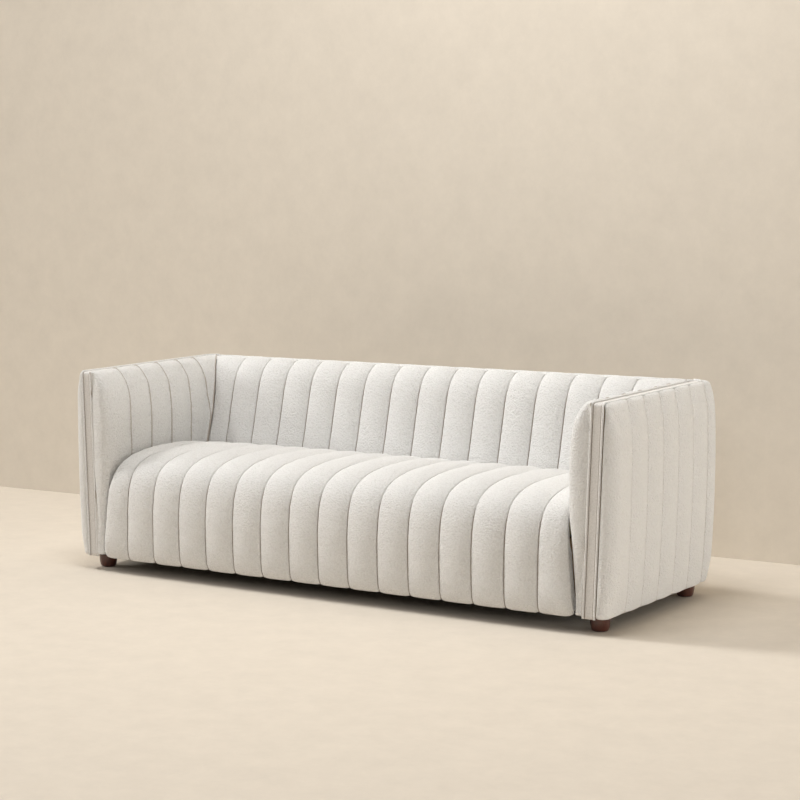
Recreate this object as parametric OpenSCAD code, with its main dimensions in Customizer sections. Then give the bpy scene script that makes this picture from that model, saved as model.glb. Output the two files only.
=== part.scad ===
// Tuxedo sofa with a tight channelled seat, arms nearly level with the back and four turned feet.
// +X is the sofa's left end as someone sits in it, -Y the front, +Z up; the origin is on the floor
// under the middle of the sofa. Upholstery is modelled as closed quilted pads over a timber frame.

/* [Overall] */
// Depth from the crowns of the seat front to the crowns of the outer back
sofa_d = 866; // [830:2:900]
// Height of the back crest above the floor
crest_h = 765; // [750:1:790]
// How far the arm band at the front lies below the back crest
arm_drop = 23; // [15:1:40]
// How much higher the arm band is at the rear
arm_rise = 13; // [6:1:18]
// Height of the timber frame's underside above the floor
base_z = 60; // [50:1:70]

/* [Channels] */
// Width of a seat and back channel, seam to seam
channel_pitch = 122; // [116:1:128]
// Channels across the seat
seat_channels = 16; // [12:2:18]
// Channels across the outer back, between the two rear seams
rear_channels = 17; // [13:2:19]
// Full channels along the inner face of an arm
inner_arm_bays = 3; // [2:1:3]
// Full channels along the outer face of an arm
outer_arm_bays = 5; // [4:1:5]
// How far a channel's crown stands above its seams
crown = 12; // [6:0.5:14]
// Thickness of the quilted layer that holds the channels
quilt_t = 30; // [24:1:32]

/* [Seat] */
// Height of the seat seams at the middle of the seat
seat_h = 452; // [440:1:470]
// Height of the seat cover's lower edge
seat_low_z = 49; // [42:1:58]
// How far the seat is drawn in beside the arms
seat_end_sink = 17; // [6:1:18]
// Height of the spring deck, which is the top of the seat rails
deck_z = 290; // [270:1:300]
// Gap between the seat cover and the pads beside and behind it
seat_gap = 2; // [1:0.5:5]
// Number of springs under the seat
spring_count = 12; // [8:1:14]
// Wire diameter of the springs
spring_wire_d = 3.8; // [3:0.1:4.5]

/* [Back] */
// Height at which the back cover meets the seat
back_foot_z = 421; // [410:1:430]
// How far the crest lies behind the foot of the back
back_rake = 83; // [60:1:95]
// Padding over the back frame at its fullest
back_pad_t = 78; // [66:1:84]
// Padding over the outer back and outer arms at its fullest
outer_pad_t = 37; // [30:1:42]

/* [Arms] */
// Width of the flat band between the inner and outer arm covers
band_w = 48; // [44:1:54]
// How far the arm top leans out over its foot
arm_lean = 24; // [0:1:30]
// Distance from the last seat seam to the middle of the arm's foot
arm_axis_off = 55.5; // [50:0.5:62]
// Padding over the inner face of an arm at its fullest
inner_pad_t = 73; // [64:1:78]
// How far the arm fronts lie behind the seat front
arm_setback = 31; // [20:1:40]
// Distance from the arm front to the first inner seam
inner_first = 134; // [120:1:145]
// Distance from the arm front to the first outer seam
outer_first = 155; // [140:1:165]
// Distance from the last outer seam to the rear face of the frame
outer_last = 36; // [30:1:46]
// Diameter of the piping on both edges of the band
cord_d = 8; // [5:0.5:10]
// How far the arm and outer covers hang below the frame
cover_hang = 10; // [4:1:14]

/* [Frame] */
// Thickness of the seat rails and back uprights
rail_t = 25; // [20:1:30]
// Thickness of the arm posts and rails
post_t = 40; // [34:1:40]
// Depth of an arm post along the arm
post_d = 50; // [40:1:52]
// Thickness of the panels on the frame
board_t = 4; // [3:0.5:4]

/* [Feet] */
// Largest diameter of a foot, at its top
foot_top_d = 68; // [56:1:76]
// Diameter of a foot where it meets its glide
foot_tip_d = 48; // [40:1:54]
// Distance from the arm front to the middle of the front feet
foot_front_in = 85; // [80:1:130]
// Distance from the rear face of the frame to the middle of the rear feet
foot_rear_in = 48; // [42:1:70]
// Diameter of the bolts that hold the feet
foot_bolt_d = 8; // [6:1:10]

/* [Hidden] */

// Gap between a soft piece and what it lies on
soft_gap = 0.4;
// Overrun of every cut
over = 2;
// Gap at the sewn corner between the arm and back covers
corner_gap = 2;
// Height at which the arm covers leave the frame, and their lower edge below it
pad_low_z = base_z + 1.5 * soft_gap;
cover_low_z = pad_low_z - cover_hang;
// Thickness of the covers' free edge along the band
edge_t = 14;

// Shares along a channel where its section is sampled, for a plain and for a wrapped channel
bay_shares = [0, 0.14, 0.5, 0.86];
wrap_shares = [0, 0.12, 0.25, 0.37, 0.5, 0.76, 0.92];
bay_power = 2.4;
wrap_power = 5;
bump_power = 0.75;

// Cover outlines, bottom to top: height share, padding share, crown share
inner_shares = [
    [0, 0.315, 0.5], [0.2, 0.49, 0.8], [0.37, 0.66, 1], [0.49, 0.87, 1], [0.63, 0.96, 1],
    [0.75, 1, 1], [0.88, 0.89, 1], [0.955, 0.64, 0.9], [0.987, 0.38, 0.8], [0.996, 0.16, 0.6], [1, 0, 0]
];
outer_shares = [
    [0, 0.76, 0.5], [0.13, 0.95, 1], [0.35, 1, 1], [0.55, 0.95, 1], [0.75, 0.82, 1],
    [0.89, 0.62, 1], [0.96, 0.38, 0.9], [0.995, 0.13, 0.6], [1, 0, 0]
];
back_shares = [
    [0, 0.96, 0.1], [0.25, 0.96, 0.7], [0.43, 0.985, 1], [0.632, 1, 1], [0.835, 0.96, 1],
    [0.925, 0.77, 1], [0.975, 0.5, 1], [1, 0.25, 1], [0.99, 0, 0]
];
// Seat outline, from the lower front edge over the nose to the rear: depth, height and crown shares
seat_shares = [
    [0.055, 0, 0.3], [0.024, 0.065, 0.65], [0.007, 0.206, 1], [0, 0.422, 1], [0.012, 0.633, 1],
    [0.0257, 0.717, 1], [0.05, 0.797, 1], [0.0788, 0.8486, 1], [0.115, 0.891, 1], [0.247, 0.963, 1],
    [0.423, 0.995, 1], [0.644, 1, 1], [0.839, 0.978, 1], [0.95, 0.945, 0.7], [1, 0.9, 0.2]
];
// Height share of a cover's lining against its outline, but for the last row
lining_scale_share = 0.985;
// Power that keeps the seat level across its middle and draws it in at its ends
sink_power = 6;
// Share of that sink which the seat's lowest rows take; all the others take it whole
sink_shares = [0, 0.35, 0.8];
// Crown share of the narrow channels beside the arms
end_crown_share = 0.6;

// Main planes
arm_h = crest_h - arm_drop;
seat_half = seat_channels * channel_pitch / 2;
front_y = -sofa_d / 2;
seat_front_y = front_y + crown;
band_y = front_y + arm_setback;
rear_y = sofa_d / 2 - crown;
frame_rear_y = rear_y - outer_pad_t;
crest_z = crest_h - crown;
back_band_y = frame_rear_y - band_w;
frame_half = post_t / 2 + board_t;
// How far a foot reaches out under the outer cover, and how high the lining ends over the frame's
// underside, so that the cover's slanting lower edge clears the foot
foot_over = foot_top_d / 2 - frame_half - soft_gap;
lip_rise = cover_hang * foot_over / (outer_shares[0][1] * outer_pad_t - foot_over);

// Back outline heights
back_low_z = deck_z + seat_gap + quilt_t / 2;
webbing_t = 1.6;

// Radii of the covers' upright corners
front_r = 30;
rear_r = 70;

// Plan place of the seams; the arm channels share out the depth between the first and last outer seam
arm_pitch = (frame_rear_y - outer_last - band_y - outer_first) / outer_arm_bays;
inner_seams = [for (k = [0:inner_arm_bays]) band_y + inner_first + k * arm_pitch];
outer_seams = [for (k = [0:outer_arm_bays]) band_y + outer_first + k * arm_pitch];
last_outer_seam = outer_seams[outer_arm_bays];
rear_seam_in = 32;
rear_seam_x = arm_axis(crest_z) - rear_seam_in;

// Timber sizes
sill_h = 40;
top_rail_h = 37;
post_front_y = band_y + edge_t;
rear_post_y = last_outer_seam - soft_gap;
arm_rail_top_z = arm_h - edge_t - soft_gap;
arm_rail_low_z = arm_rail_top_z - top_rail_h;
back_rail_top_z = crest_z - edge_t - soft_gap;
back_rail_low_z = back_rail_top_z - top_rail_h;
upright_rear_y = frame_rear_y - board_t;
front_foam_t = 45;
front_rail_y = seat_front_y + quilt_t + front_foam_t;
rear_rail_y = back_front(back_foot_z) - rail_t;
tie_rail_h = 50;
tie_rail_z = back_low_z + soft_gap;
bottom_rail_h = 60;

// Centre of the arm frame across the sofa, at a height
function arm_axis(z) = seat_half + arm_axis_off + arm_lean * (z - base_z) / (arm_h - base_z);
// Inner and outer limits of the padding on the arm frame
function face_in(z) = arm_axis(z) - frame_half - soft_gap;
function face_out(z) = arm_axis(z) + frame_half + soft_gap;
// Front edge of the back frame
function back_front(z) =
    back_band_y - back_rake * (crest_z - max(z, back_foot_z)) / (crest_z - back_foot_z);
// Two columns of a table of shares as lookup pairs, without the last row, which lies on the frame
function pairs(table) = [for (i = [0:len(table) - 2]) [table[i][0], table[i][1]]];
inner_pairs = pairs(inner_shares);
back_pairs = pairs(back_shares);
// Height share of the arm covers
function arm_share(z) = (z - pad_low_z) / (arm_h - pad_low_z);
// Seams of the inner arm cover and of the back cover at a height
function inner_x(z) = face_in(z) - inner_pad_t * lookup(arm_share(z), inner_pairs);
function back_y(z) = back_front(z) - webbing_t - back_pad_t
    * lookup((z - back_low_z) / (crest_z - back_low_z), back_pairs);
// Height on an arm that rises to the rear, and the reverse
function rise_scale(y) =
    1 + arm_rise / (arm_h - pad_low_z) * (y - band_y) / (frame_rear_y - band_y);
function risen(z, y) = pad_low_z + (z - pad_low_z) * rise_scale(y);
function lowered(z, y) = pad_low_z + (z - pad_low_z) / rise_scale(y);
// Height of a channel's section above its seams, as a share of the crown
function bump(t, power) = pow(1 - pow(abs(2 * t - 1), power), bump_power);
// Unit normal at one point of an outline that runs upwards, outward distance first
function outline_normal(line, i) =
    let (a = line[max(i - 1, 0)], b = line[min(i + 1, len(line) - 1)], run = b - a)
    [run[1], -run[0]] / norm(run);

// One plan point of a channel that wraps an upright corner from start to a seam:
// [x, y, normal x, normal y, bump]; side is 1 where the cover faces +X and -1 where it faces -X
function wrap_point(start, side_x, end_y, radius, side, t) =
    let (
        width = (side_x - start[0]) * side,
        r = max(min(radius, width, (end_y - start[1]) / 2), 0),
        run_front = width - r,
        run_arc = r * PI / 2,
        run_side = end_y - start[1] - r,
        s = t * (run_front + run_arc + run_side),
        turn = r > 0 ? min(max((s - run_front) / r, 0), PI / 2) * 180 / PI : 90,
        on_front = s < run_front,
        on_side = s >= run_front + run_arc
    )
    on_front ? [start[0] + side * s, start[1], 0, -1, bump(t, wrap_power)]
    : on_side ? [side_x, start[1] + r + s - run_front - run_arc, side, 0, bump(t, wrap_power)]
    : [
        start[0] + side * (run_front + r * sin(turn)),
        start[1] + r * (1 - cos(turn)),
        side * sin(turn), -cos(turn), bump(t, wrap_power)
    ];

// A point moved off its seam surface along the outline's normal
function lifted(plan, z, normal, lift) = [
    plan[0] + plan[2] * normal[0] * lift,
    plan[1] + plan[3] * normal[0] * lift,
    z + normal[1] * lift
];

// Height share of a row of a cover's lining, which never turns back down
function lining_share(table, i) = i == len(table) - 1 ? 1 : table[i][0] * lining_scale_share;
// How far the lowest row of a hanging cover lies below its share of the height, and of its lining above
function hang(share) = share == 0 ? cover_hang : 0;
function lip(i) = i == 0 ? lip_rise : 0;

// Places of the inner columns among the outer ones
function marks(counts, k = 0, at = 0) =
    k == len(counts) ? [at] : concat([at], marks(counts, k + 1, at + counts[k]));

// Closed pad from a grid of outer points and a coarser grid of inner points
module quilt(outer, inner, stops, flip = false) {
    rows = len(outer);
    cols = len(outer[0]);
    bays = len(stops) - 1;
    function o(i, j) = i * cols + j;
    function n(i, k) = rows * cols + i * (bays + 1) + k;
    function mid(k) = floor((stops[k] + stops[k + 1]) / 2);
    function quad(a, b, c, d) = [[a, b, c], [a, c, d]];
    function cap(i) = [
        for (k = [0:bays - 1]) each concat(
            [for (j = [stops[k]:mid(k) - 1]) [n(i, k), o(i, j), o(i, j + 1)]],
            [[n(i, k), o(i, mid(k)), n(i, k + 1)]],
            [for (j = [mid(k):stops[k + 1] - 1]) [n(i, k + 1), o(i, j), o(i, j + 1)]]
        )
    ];
    skin = [
        for (i = [0:rows - 2]) for (j = [0:cols - 2])
            each quad(o(i + 1, j), o(i + 1, j + 1), o(i, j + 1), o(i, j))
    ];
    lining = [
        for (i = [0:rows - 2]) for (k = [0:bays - 1])
            each quad(n(i, k), n(i, k + 1), n(i + 1, k + 1), n(i + 1, k))
    ];
    low_end = cap(0);
    high_end = [for (f = cap(rows - 1)) [f[0], f[2], f[1]]];
    first_side = [
        for (i = [0:rows - 2]) each quad(o(i, 0), n(i, 0), n(i + 1, 0), o(i + 1, 0))
    ];
    last_side = [
        for (i = [0:rows - 2])
            each quad(o(i, cols - 1), o(i + 1, cols - 1), n(i + 1, bays), n(i, bays))
    ];
    faces = concat(skin, lining, low_end, high_end, first_side, last_side);
    polyhedron(
        points = concat([for (row = outer) each row], [for (row = inner) each row]),
        faces = flip ? [for (f = faces) [f[0], f[2], f[1]]] : faces
    );
}

// Right-hand pieces are drawn as they are and left-hand ones mirrored
module sided(side) {
    if (side > 0) children();
    else mirror([1, 0, 0]) children();
}

// Block that leans with the arm, between two heights, two depths and two offsets from its axis
module arm_slab(z0, z1, y0, y1, in_off, out_off) {
    translate([0, y1, 0])
        rotate([90, 0, 0])
            linear_extrude(y1 - y0)
                polygon([
                    [arm_axis(z0) + in_off, z0], [arm_axis(z0) + out_off, z0],
                    [arm_axis(z1) + out_off, z1], [arm_axis(z1) + in_off, z1]
                ]);
}

// Prism across the sofa from an outline of depths and heights
module across(half, outline) {
    translate([-half, 0, 0])
        rotate([90, 0, 90])
            linear_extrude(2 * half)
                polygon(outline);
}

// Faceted round cord swept along a path; the reference lies along none of the path's runs
cord_sides = 8;
cord_reference = [1, 0, 0.4];
module cord(path, d) {
    last = len(path) - 1;
    function run(i) = path[min(i + 1, last)] - path[max(i - 1, 0)];
    function across_run(i) = let (v = cross(run(i), cord_reference)) v / norm(v);
    function ring(i) =
        let (u = across_run(i), v = cross(run(i) / norm(run(i)), u))
        [for (k = [0:cord_sides - 1])
            let (a = 360 * k / cord_sides)
            path[i] + (u * cos(a) + v * sin(a)) * d / 2];
    function at(i, k) = i * cord_sides + k % cord_sides;
    polyhedron(
        points = [for (i = [0:last]) each ring(i)],
        faces = concat(
            [for (k = [1:cord_sides - 2]) [0, k, k + 1]],
            [for (i = [0:last - 1]) for (k = [0:cord_sides - 1]) each [
                [at(i, k), at(i + 1, k), at(i + 1, k + 1)],
                [at(i, k), at(i + 1, k + 1), at(i, k + 1)]
            ]],
            [for (k = [1:cord_sides - 2]) [at(last, 0), at(last, k + 1), at(last, k)]]
        )
    );
}

// Seat
seat_rear_y = back_y(back_foot_z) - crown - seat_gap;
seat_run = seat_rear_y - seat_front_y;
seat_line = [
    for (s = seat_shares)
        [-(seat_front_y + s[0] * seat_run), seat_low_z + s[1] * (seat_h - seat_low_z)]
];
seat_core_rows = 2;
// End of the seat beside an arm, at a height
function seat_end_x(z) =
    min(seat_half, inner_x(max(z, pad_low_z)) - crown) - seat_gap;
function sink_share(i) = i < len(sink_shares) ? sink_shares[i] : 1;
seat_inner_line = [
    for (i = [0:len(seat_line) - 1]) seat_line[i] - outline_normal(seat_line, i) * quilt_t
];
seat_core_line = [
    for (i = [seat_core_rows:len(seat_line) - 1])
        let (p = seat_line[i] - outline_normal(seat_line, i) * (quilt_t + soft_gap))
        [-p[0], p[1]]
];
core_half = face_in(back_low_z) - inner_pad_t - crown - 2 * seat_gap;
deck_cloth_t = 2;
clip_t = 1.2;
deck_low_z = deck_z + spring_wire_d + 2 * clip_t + soft_gap;
deck_top_z = deck_low_z + deck_cloth_t;

module seat_cover() {
    last = seat_channels - 1;
    outer = [
        for (i = [0:len(seat_line) - 1])
            let (p = seat_line[i], normal = outline_normal(seat_line, i), end_x = seat_end_x(p[1]))
            [
                for (k = [0:last]) for (t = k == last ? concat(bay_shares, [1]) : bay_shares)
                    let (
                        x0 = k == 0 ? -end_x : k * channel_pitch - seat_half,
                        x1 = k == last ? end_x : (k + 1) * channel_pitch - seat_half,
                        x = x0 + t * (x1 - x0),
                        sink = seat_end_sink * sink_share(i) * pow(abs(x) / seat_half, sink_power),
                        lift = crown * seat_shares[i][2] * bump(t, bay_power) - sink
                    )
                    lifted([x, -p[0], 0, -1], p[1], normal, lift)
            ]
    ];
    inner = [
        for (p = seat_inner_line)
            let (end_x = seat_end_x(p[1]))
            [for (k = [0:seat_channels])
                let (x = k * channel_pitch - seat_half)
                [max(min(x, end_x), -end_x), -p[0], p[1]]]
    ];
    color("ivory")
        quilt(outer, inner, marks([for (k = [0:last]) len(bay_shares)]));
}

module seat_foam() {
    color("khaki")
        across(core_half, concat(
            seat_core_line,
            [
                [seat_core_line[len(seat_core_line) - 1][0], deck_top_z + soft_gap],
                [front_rail_y - soft_gap, deck_top_z + soft_gap],
                [front_rail_y - soft_gap, seat_core_line[0][1]]
            ]
        ));
}

// Springs lie on the rails, with their end bars in the clips
spring_span = rear_rail_y + rail_t / 2 - front_rail_y - rail_t / 2;
spring_loop_w = 52;
spring_bend_share = 0.3;
spring_turns = 20;
spring_step = spring_span / spring_turns;
spring_pitch = 2 * (core_half - spring_loop_w) / (spring_count - 1);
spring_path = concat(
    [[-spring_loop_w / 2, 0]],
    [
        for (i = [0:spring_turns - 1])
            let (side = i % 2 == 0 ? 1 : -1, edge = spring_loop_w / 2, y = i * spring_step)
            each [
                [side * (edge - spring_bend_share * spring_step), y],
                [side * edge, y + spring_bend_share * spring_step],
                [side * edge, y + (1 - spring_bend_share) * spring_step],
                [side * (edge - spring_bend_share * spring_step), y + spring_step]
            ]
    ],
    [[(spring_turns % 2 == 0 ? 1 : -1) * spring_loop_w / 2, spring_span]]
);
function path_side(path, off) = [
    for (i = [0:len(path) - 1])
        path[i] - outline_normal(path, i) * off
        / max(cos(corner_turn(path, i) / 2), 0.5)
];
// Angle by which a path turns at one of its points
function corner_turn(path, i) =
    i == 0 || i == len(path) - 1 ? 0
    : let (a = path[i] - path[i - 1], b = path[i + 1] - path[i])
    acos(min(max(a * b / norm(a) / norm(b), -1), 1));
function reversed(list) = [for (i = [len(list) - 1:-1:0]) list[i]];

module at_springs() {
    for (i = [0:spring_count - 1])
        translate([(i - (spring_count - 1) / 2) * spring_pitch, front_rail_y + rail_t / 2, deck_z])
            children();
}

module seat_springs() {
    color("silver")
        at_springs()
            linear_extrude(spring_wire_d)
                polygon(concat(
                    path_side(spring_path, spring_wire_d / 2),
                    reversed(path_side(spring_path, -spring_wire_d / 2))
                ));
}

// Clips fold over the end bars of the springs
clip_w = 22;
clip_reach = 6;
module clip() {
    rise = spring_wire_d + 2 * clip_t;
    depth = 2 * clip_reach + spring_wire_d / 2;
    under = spring_wire_d + soft_gap / 2;
    rotate([90, 0, 90])
        linear_extrude(clip_w, center = true)
            polygon([
                [-depth / 2, under], [clip_reach - clip_t, under],
                [clip_reach - clip_t, 0], [clip_reach, 0],
                [clip_reach, rise], [-depth / 2, rise]
            ]);
}

module spring_clips() {
    color("gainsboro")
        at_springs() {
            rotate([0, 0, 180])
                clip();
            translate([0, spring_span, 0])
                clip();
        }
}

tie_wire_d = 3;
tie_shares = [0.3, 0.55, 0.8];
module spring_ties() {
    first_y = front_rail_y + rail_t / 2;
    color("peru")
        for (s = tie_shares)
            translate([-seat_end_inside, first_y + s * spring_span, deck_z - tie_wire_d / 2])
                rotate([0, 90, 0])
                    cylinder(h = 2 * seat_end_inside, d = tie_wire_d, $fn = 24);
}

module deck_cloth() {
    color("tan")
        across(core_half, [
            [front_rail_y, deck_low_z], [rear_rail_y, deck_low_z],
            [rear_rail_y, deck_top_z], [front_rail_y, deck_top_z]
        ]);
}

// Back
back_line = [
    for (s = back_shares)
        let (z = back_low_z + s[0] * (crest_z - back_low_z))
        [-(back_front(z) - webbing_t - s[1] * back_pad_t), z]
];
// Corner of the back cover beside an arm, for a row of its outline
function back_end_x(i) =
    let (
        top = len(back_line) - 1,
        z = min(lowered(back_line[i][1], -back_line[i][0]), arm_h)
    )
    (i == top ? face_in(arm_h) : inner_x(z)) - corner_gap;

module back_cover() {
    last = seat_channels - 1;
    outer = [
        for (i = [0:len(back_line) - 1])
            let (p = back_line[i], normal = outline_normal(back_line, i), end_x = back_end_x(i))
            [
                for (k = [0:last]) for (t = k == last ? concat(bay_shares, [1]) : bay_shares)
                    let (
                        x0 = k == 0 ? -end_x : k * channel_pitch - seat_half,
                        x1 = k == last ? end_x : (k + 1) * channel_pitch - seat_half,
                        share = k == 0 || k == last ? end_crown_share : 1,
                        lift = crown * back_shares[i][2] * share * bump(t, bay_power)
                    )
                    lifted([x0 + t * (x1 - x0), -p[0], 0, -1], p[1], normal, lift)
            ]
    ];
    inner = [
        for (i = [0:len(back_line) - 1])
            let (
                s = back_shares[i],
                z = back_low_z + lining_share(back_shares, i) * (crest_z - edge_t - back_low_z),
                depth = max(s[1] * back_pad_t - quilt_t, 0),
                y = back_front(z) - webbing_t - depth,
                mitre = min(quilt_t, s[1] * back_pad_t)
            )
            [for (k = [0:seat_channels])
                let (x = k * channel_pitch - seat_half, end_x = back_end_x(i) + mitre)
                [k == 0 ? -end_x : k == seat_channels ? end_x : x, y, z]]
    ];
    color("ivory")
        quilt(outer, inner, marks([for (k = [0:last]) len(bay_shares)]));
}

back_foam_rows = 5;
module back_foam() {
    face = [
        for (i = [0:back_foam_rows])
            let (
                s = back_shares[i],
                z = back_low_z + lining_share(back_shares, i) * (crest_z - edge_t - back_low_z)
            )
            [back_front(z) - webbing_t - max(s[1] * back_pad_t - quilt_t, 0) + soft_gap, z]
    ];
    rear = [
        for (z = [face[back_foam_rows][1], back_foot_z, face[0][1]])
            [back_front(z) - webbing_t - soft_gap, z]
    ];
    color("khaki")
        across(core_half, concat(face, rear));
}

webbing_w = 50;
webbing_rows = 5;
module back_webbing() {
    step = (back_rail_low_z - back_foot_z) / webbing_rows;
    color("tan")
        for (i = [0:webbing_rows - 1])
            let (z0 = back_foot_z + i * step, z1 = z0 + min(webbing_w, step - over))
            across(upright_out_x, [
                [back_front(z0) - webbing_t, z0], [back_front(z0), z0],
                [back_front(z1), z1], [back_front(z1) - webbing_t, z1]
            ]);
}

// Back uprights stand behind the rear seat rail and carry the top, tie and bottom rails
upright_out_x = arm_axis(base_z) - frame_half;
seat_end_inside = upright_out_x - rail_t;
module upright(x) {
    translate([x, 0, 0])
        difference() {
            rotate([90, 0, 90])
                linear_extrude(rail_t)
                    polygon([
                        [rear_rail_y + rail_t, base_z],
                        [back_front(back_foot_z), back_foot_z],
                        [back_front(back_rail_low_z), back_rail_low_z],
                        [upright_rear_y, back_rail_low_z],
                        [upright_rear_y, base_z]
                    ]);
            translate([-over, back_front(back_foot_z) - over, tie_rail_z])
                cube([rail_t + 2 * over, rail_t + over, tie_rail_h]);
            translate([-over, upright_rear_y - rail_t, base_z - over])
                cube([rail_t + 2 * over, rail_t + over, bottom_rail_h + over]);
        }
}

module back_upright(side) {
    color("burlywood")
        sided(side)
            upright(seat_end_inside);
}

module back_uprights_middle() {
    color("burlywood")
        for (i = [-1:1])
            upright(i * (seat_end_inside + rail_t) / 2 - rail_t / 2);
}

module back_top_rail() {
    color("burlywood")
        across(arm_axis(back_rail_low_z) - frame_half, [
            [back_front(back_rail_low_z), back_rail_low_z],
            [upright_rear_y, back_rail_low_z],
            [upright_rear_y, back_rail_top_z],
            [back_front(back_rail_top_z), back_rail_top_z]
        ]);
}

module back_tie_rail() {
    y = back_front(back_foot_z);
    color("burlywood")
        across(upright_out_x, [
            [y, tie_rail_z], [y + rail_t, tie_rail_z],
            [y + rail_t, tie_rail_z + tie_rail_h], [y, tie_rail_z + tie_rail_h]
        ]);
}

module back_bottom_rail() {
    color("burlywood")
        across(upright_out_x, [
            [upright_rear_y - rail_t, base_z], [upright_rear_y, base_z],
            [upright_rear_y, base_z + bottom_rail_h], [upright_rear_y - rail_t, base_z + bottom_rail_h]
        ]);
}

module outer_back_board() {
    color("tan")
        across(upright_out_x, [
            [upright_rear_y, base_z], [frame_rear_y, base_z],
            [frame_rear_y, back_rail_top_z], [upright_rear_y, back_rail_top_z]
        ]);
}

// Outer cover outline, as distance off the frame and height
function outer_height(s) = pad_low_z + s[0] * (arm_h - pad_low_z) - hang(s[0]);
function outer_height_in(i) =
    pad_low_z + lining_share(outer_shares, i) * (arm_h - edge_t - pad_low_z) + lip(i);
outer_line = [for (s = outer_shares) [face_out(outer_height(s)) + s[1] * outer_pad_t, outer_height(s)]];
rear_line = [for (s = outer_shares) [s[1] * outer_pad_t, outer_height(s)]];

module outer_back_cover() {
    pitch = 2 * rear_seam_x / rear_channels;
    half = rear_seam_x - soft_gap;
    last = rear_channels - 1;
    outer = [
        for (i = [0:len(rear_line) - 1])
            let (p = rear_line[i], normal = outline_normal(rear_line, i), y = frame_rear_y + soft_gap + p[0])
            [
                for (k = [0:last]) for (t = k == last ? concat(bay_shares, [1]) : bay_shares)
                    let (
                        x = rear_seam_x - (k + t) * pitch,
                        lift = crown * outer_shares[i][2] * bump(t, bay_power)
                    )
                    lifted([max(min(x, half), -half), y, 0, 1], risen(p[1], frame_rear_y), normal, lift)
            ]
    ];
    inner = [
        for (i = [0:len(rear_line) - 1])
            [for (k = [0:rear_channels])
                let (x = rear_seam_x - k * pitch)
                [max(min(x, half), -half), frame_rear_y + soft_gap, risen(outer_height_in(i), frame_rear_y)]]
    ];
    color("ivory")
        quilt(outer, inner, marks([for (k = [0:last]) len(bay_shares)]));
}

// Band on top of the back, between the two covers
band_half = band_w / 2 - cord_d;
band_drop = 3;
back_band_top_z = crest_z - band_drop;
band_end_x = arm_axis(arm_h) - band_w / 2 - soft_gap;
module back_band() {
    y0 = back_band_y + cord_d + soft_gap;
    y1 = frame_rear_y - cord_d - soft_gap;
    color("ivory")
        across(band_end_x, [
            [y0, back_rail_top_z + soft_gap], [y1, back_rail_top_z + soft_gap],
            [y1, back_band_top_z], [y0, back_band_top_z]
        ]);
}

module back_piping() {
    z = back_band_top_z - cord_d / 2 + band_drop;
    end_x = band_end_x - cord_d / 2;
    color("ivory")
        for (y = [back_band_y + cord_d / 2 + soft_gap, frame_rear_y - cord_d / 2 - soft_gap])
            translate([-end_x, y, z])
                rotate([0, 90, 0])
                    cylinder(h = 2 * end_x, d = cord_d, $fn = 32);
}

// Seat frame
module leaning_rail(y) {
    translate([0, y + rail_t, 0])
        rotate([90, 0, 0])
            linear_extrude(rail_t)
                polygon([
                    [-(arm_axis(base_z) - frame_half), base_z], [arm_axis(base_z) - frame_half, base_z],
                    [arm_axis(deck_z) - frame_half, deck_z], [-(arm_axis(deck_z) - frame_half), deck_z]
                ]);
}

module front_rail() {
    color("burlywood")
        leaning_rail(front_rail_y);
}

module rear_rail() {
    color("burlywood")
        leaning_rail(rear_rail_y);
}

rail_gap_y = rear_rail_y - front_rail_y - rail_t;
module end_rail(side) {
    color("burlywood")
        sided(side)
            translate([seat_end_inside, front_rail_y + rail_t, base_z])
                cube([rail_t, rail_gap_y, deck_z - base_z - tie_wire_d]);
}

cross_rail_h = 120;
cross_rail_count = 3;
module cross_rails() {
    step = 2 * seat_end_inside / (cross_rail_count + 1);
    color("burlywood")
        for (i = [1:cross_rail_count])
            translate([i * step - seat_end_inside - rail_t / 2, front_rail_y + rail_t, base_z])
                cube([rail_t, rail_gap_y, cross_rail_h]);
}

block_leg = 90;
module corner_blocks() {
    color("burlywood")
        for (side = [-1, 1])
            sided(side) {
                translate([seat_end_inside, front_rail_y + rail_t, base_z])
                    linear_extrude(bottom_rail_h)
                        polygon([[0, 0], [-block_leg, 0], [0, block_leg]]);
                translate([seat_end_inside, rear_rail_y, base_z])
                    linear_extrude(bottom_rail_h)
                        polygon([[0, 0], [-block_leg, 0], [0, -block_leg]]);
            }
}

// Arm frames
foot_front_y = band_y + foot_front_in;
foot_rear_y = frame_rear_y - foot_rear_in;
bolt_clear = 0.3;
tee_barrel_d = foot_bolt_d + 3;
tee_barrel_h = 12;
tee_plate_t = 1.5;
tee_plate_d = 24;

module at_feet(side) {
    for (y = [foot_front_y, foot_rear_y])
        translate([side * arm_axis(base_z), y, 0])
            children();
}

module arm_sill(side) {
    color("burlywood")
        sided(side)
            difference() {
                arm_slab(base_z, base_z + sill_h, post_front_y, rear_post_y, -post_t / 2, post_t / 2);
                at_feet(1)
                    translate([0, 0, base_z - over])
                        cylinder(h = sill_h + 2 * over, d = foot_bolt_d + 2 * bolt_clear, $fn = 48);
                at_feet(1)
                    translate([0, 0, base_z + sill_h - tee_barrel_h])
                        cylinder(h = tee_barrel_h + over, d = tee_barrel_d + 2 * bolt_clear, $fn = 48);
            }
}

// The rear post stands just ahead of the rear foot's nut
rear_post_front_y = foot_rear_y - tee_plate_d / 2 - soft_gap - post_d;
module arm_post(side, y) {
    color("burlywood")
        sided(side)
            arm_slab(base_z + sill_h, arm_rail_low_z, y, y + post_d, -post_t / 2, post_t / 2);
}

module arm_top_rail(side) {
    color("burlywood")
        sided(side)
            arm_slab(arm_rail_low_z, arm_rail_top_z, post_front_y, rear_post_y, -post_t / 2, post_t / 2);
}

module arm_inner_board(side) {
    color("tan")
        sided(side)
            arm_slab(base_z, arm_rail_top_z, post_front_y, rear_post_y, -frame_half, -post_t / 2);
}

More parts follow.
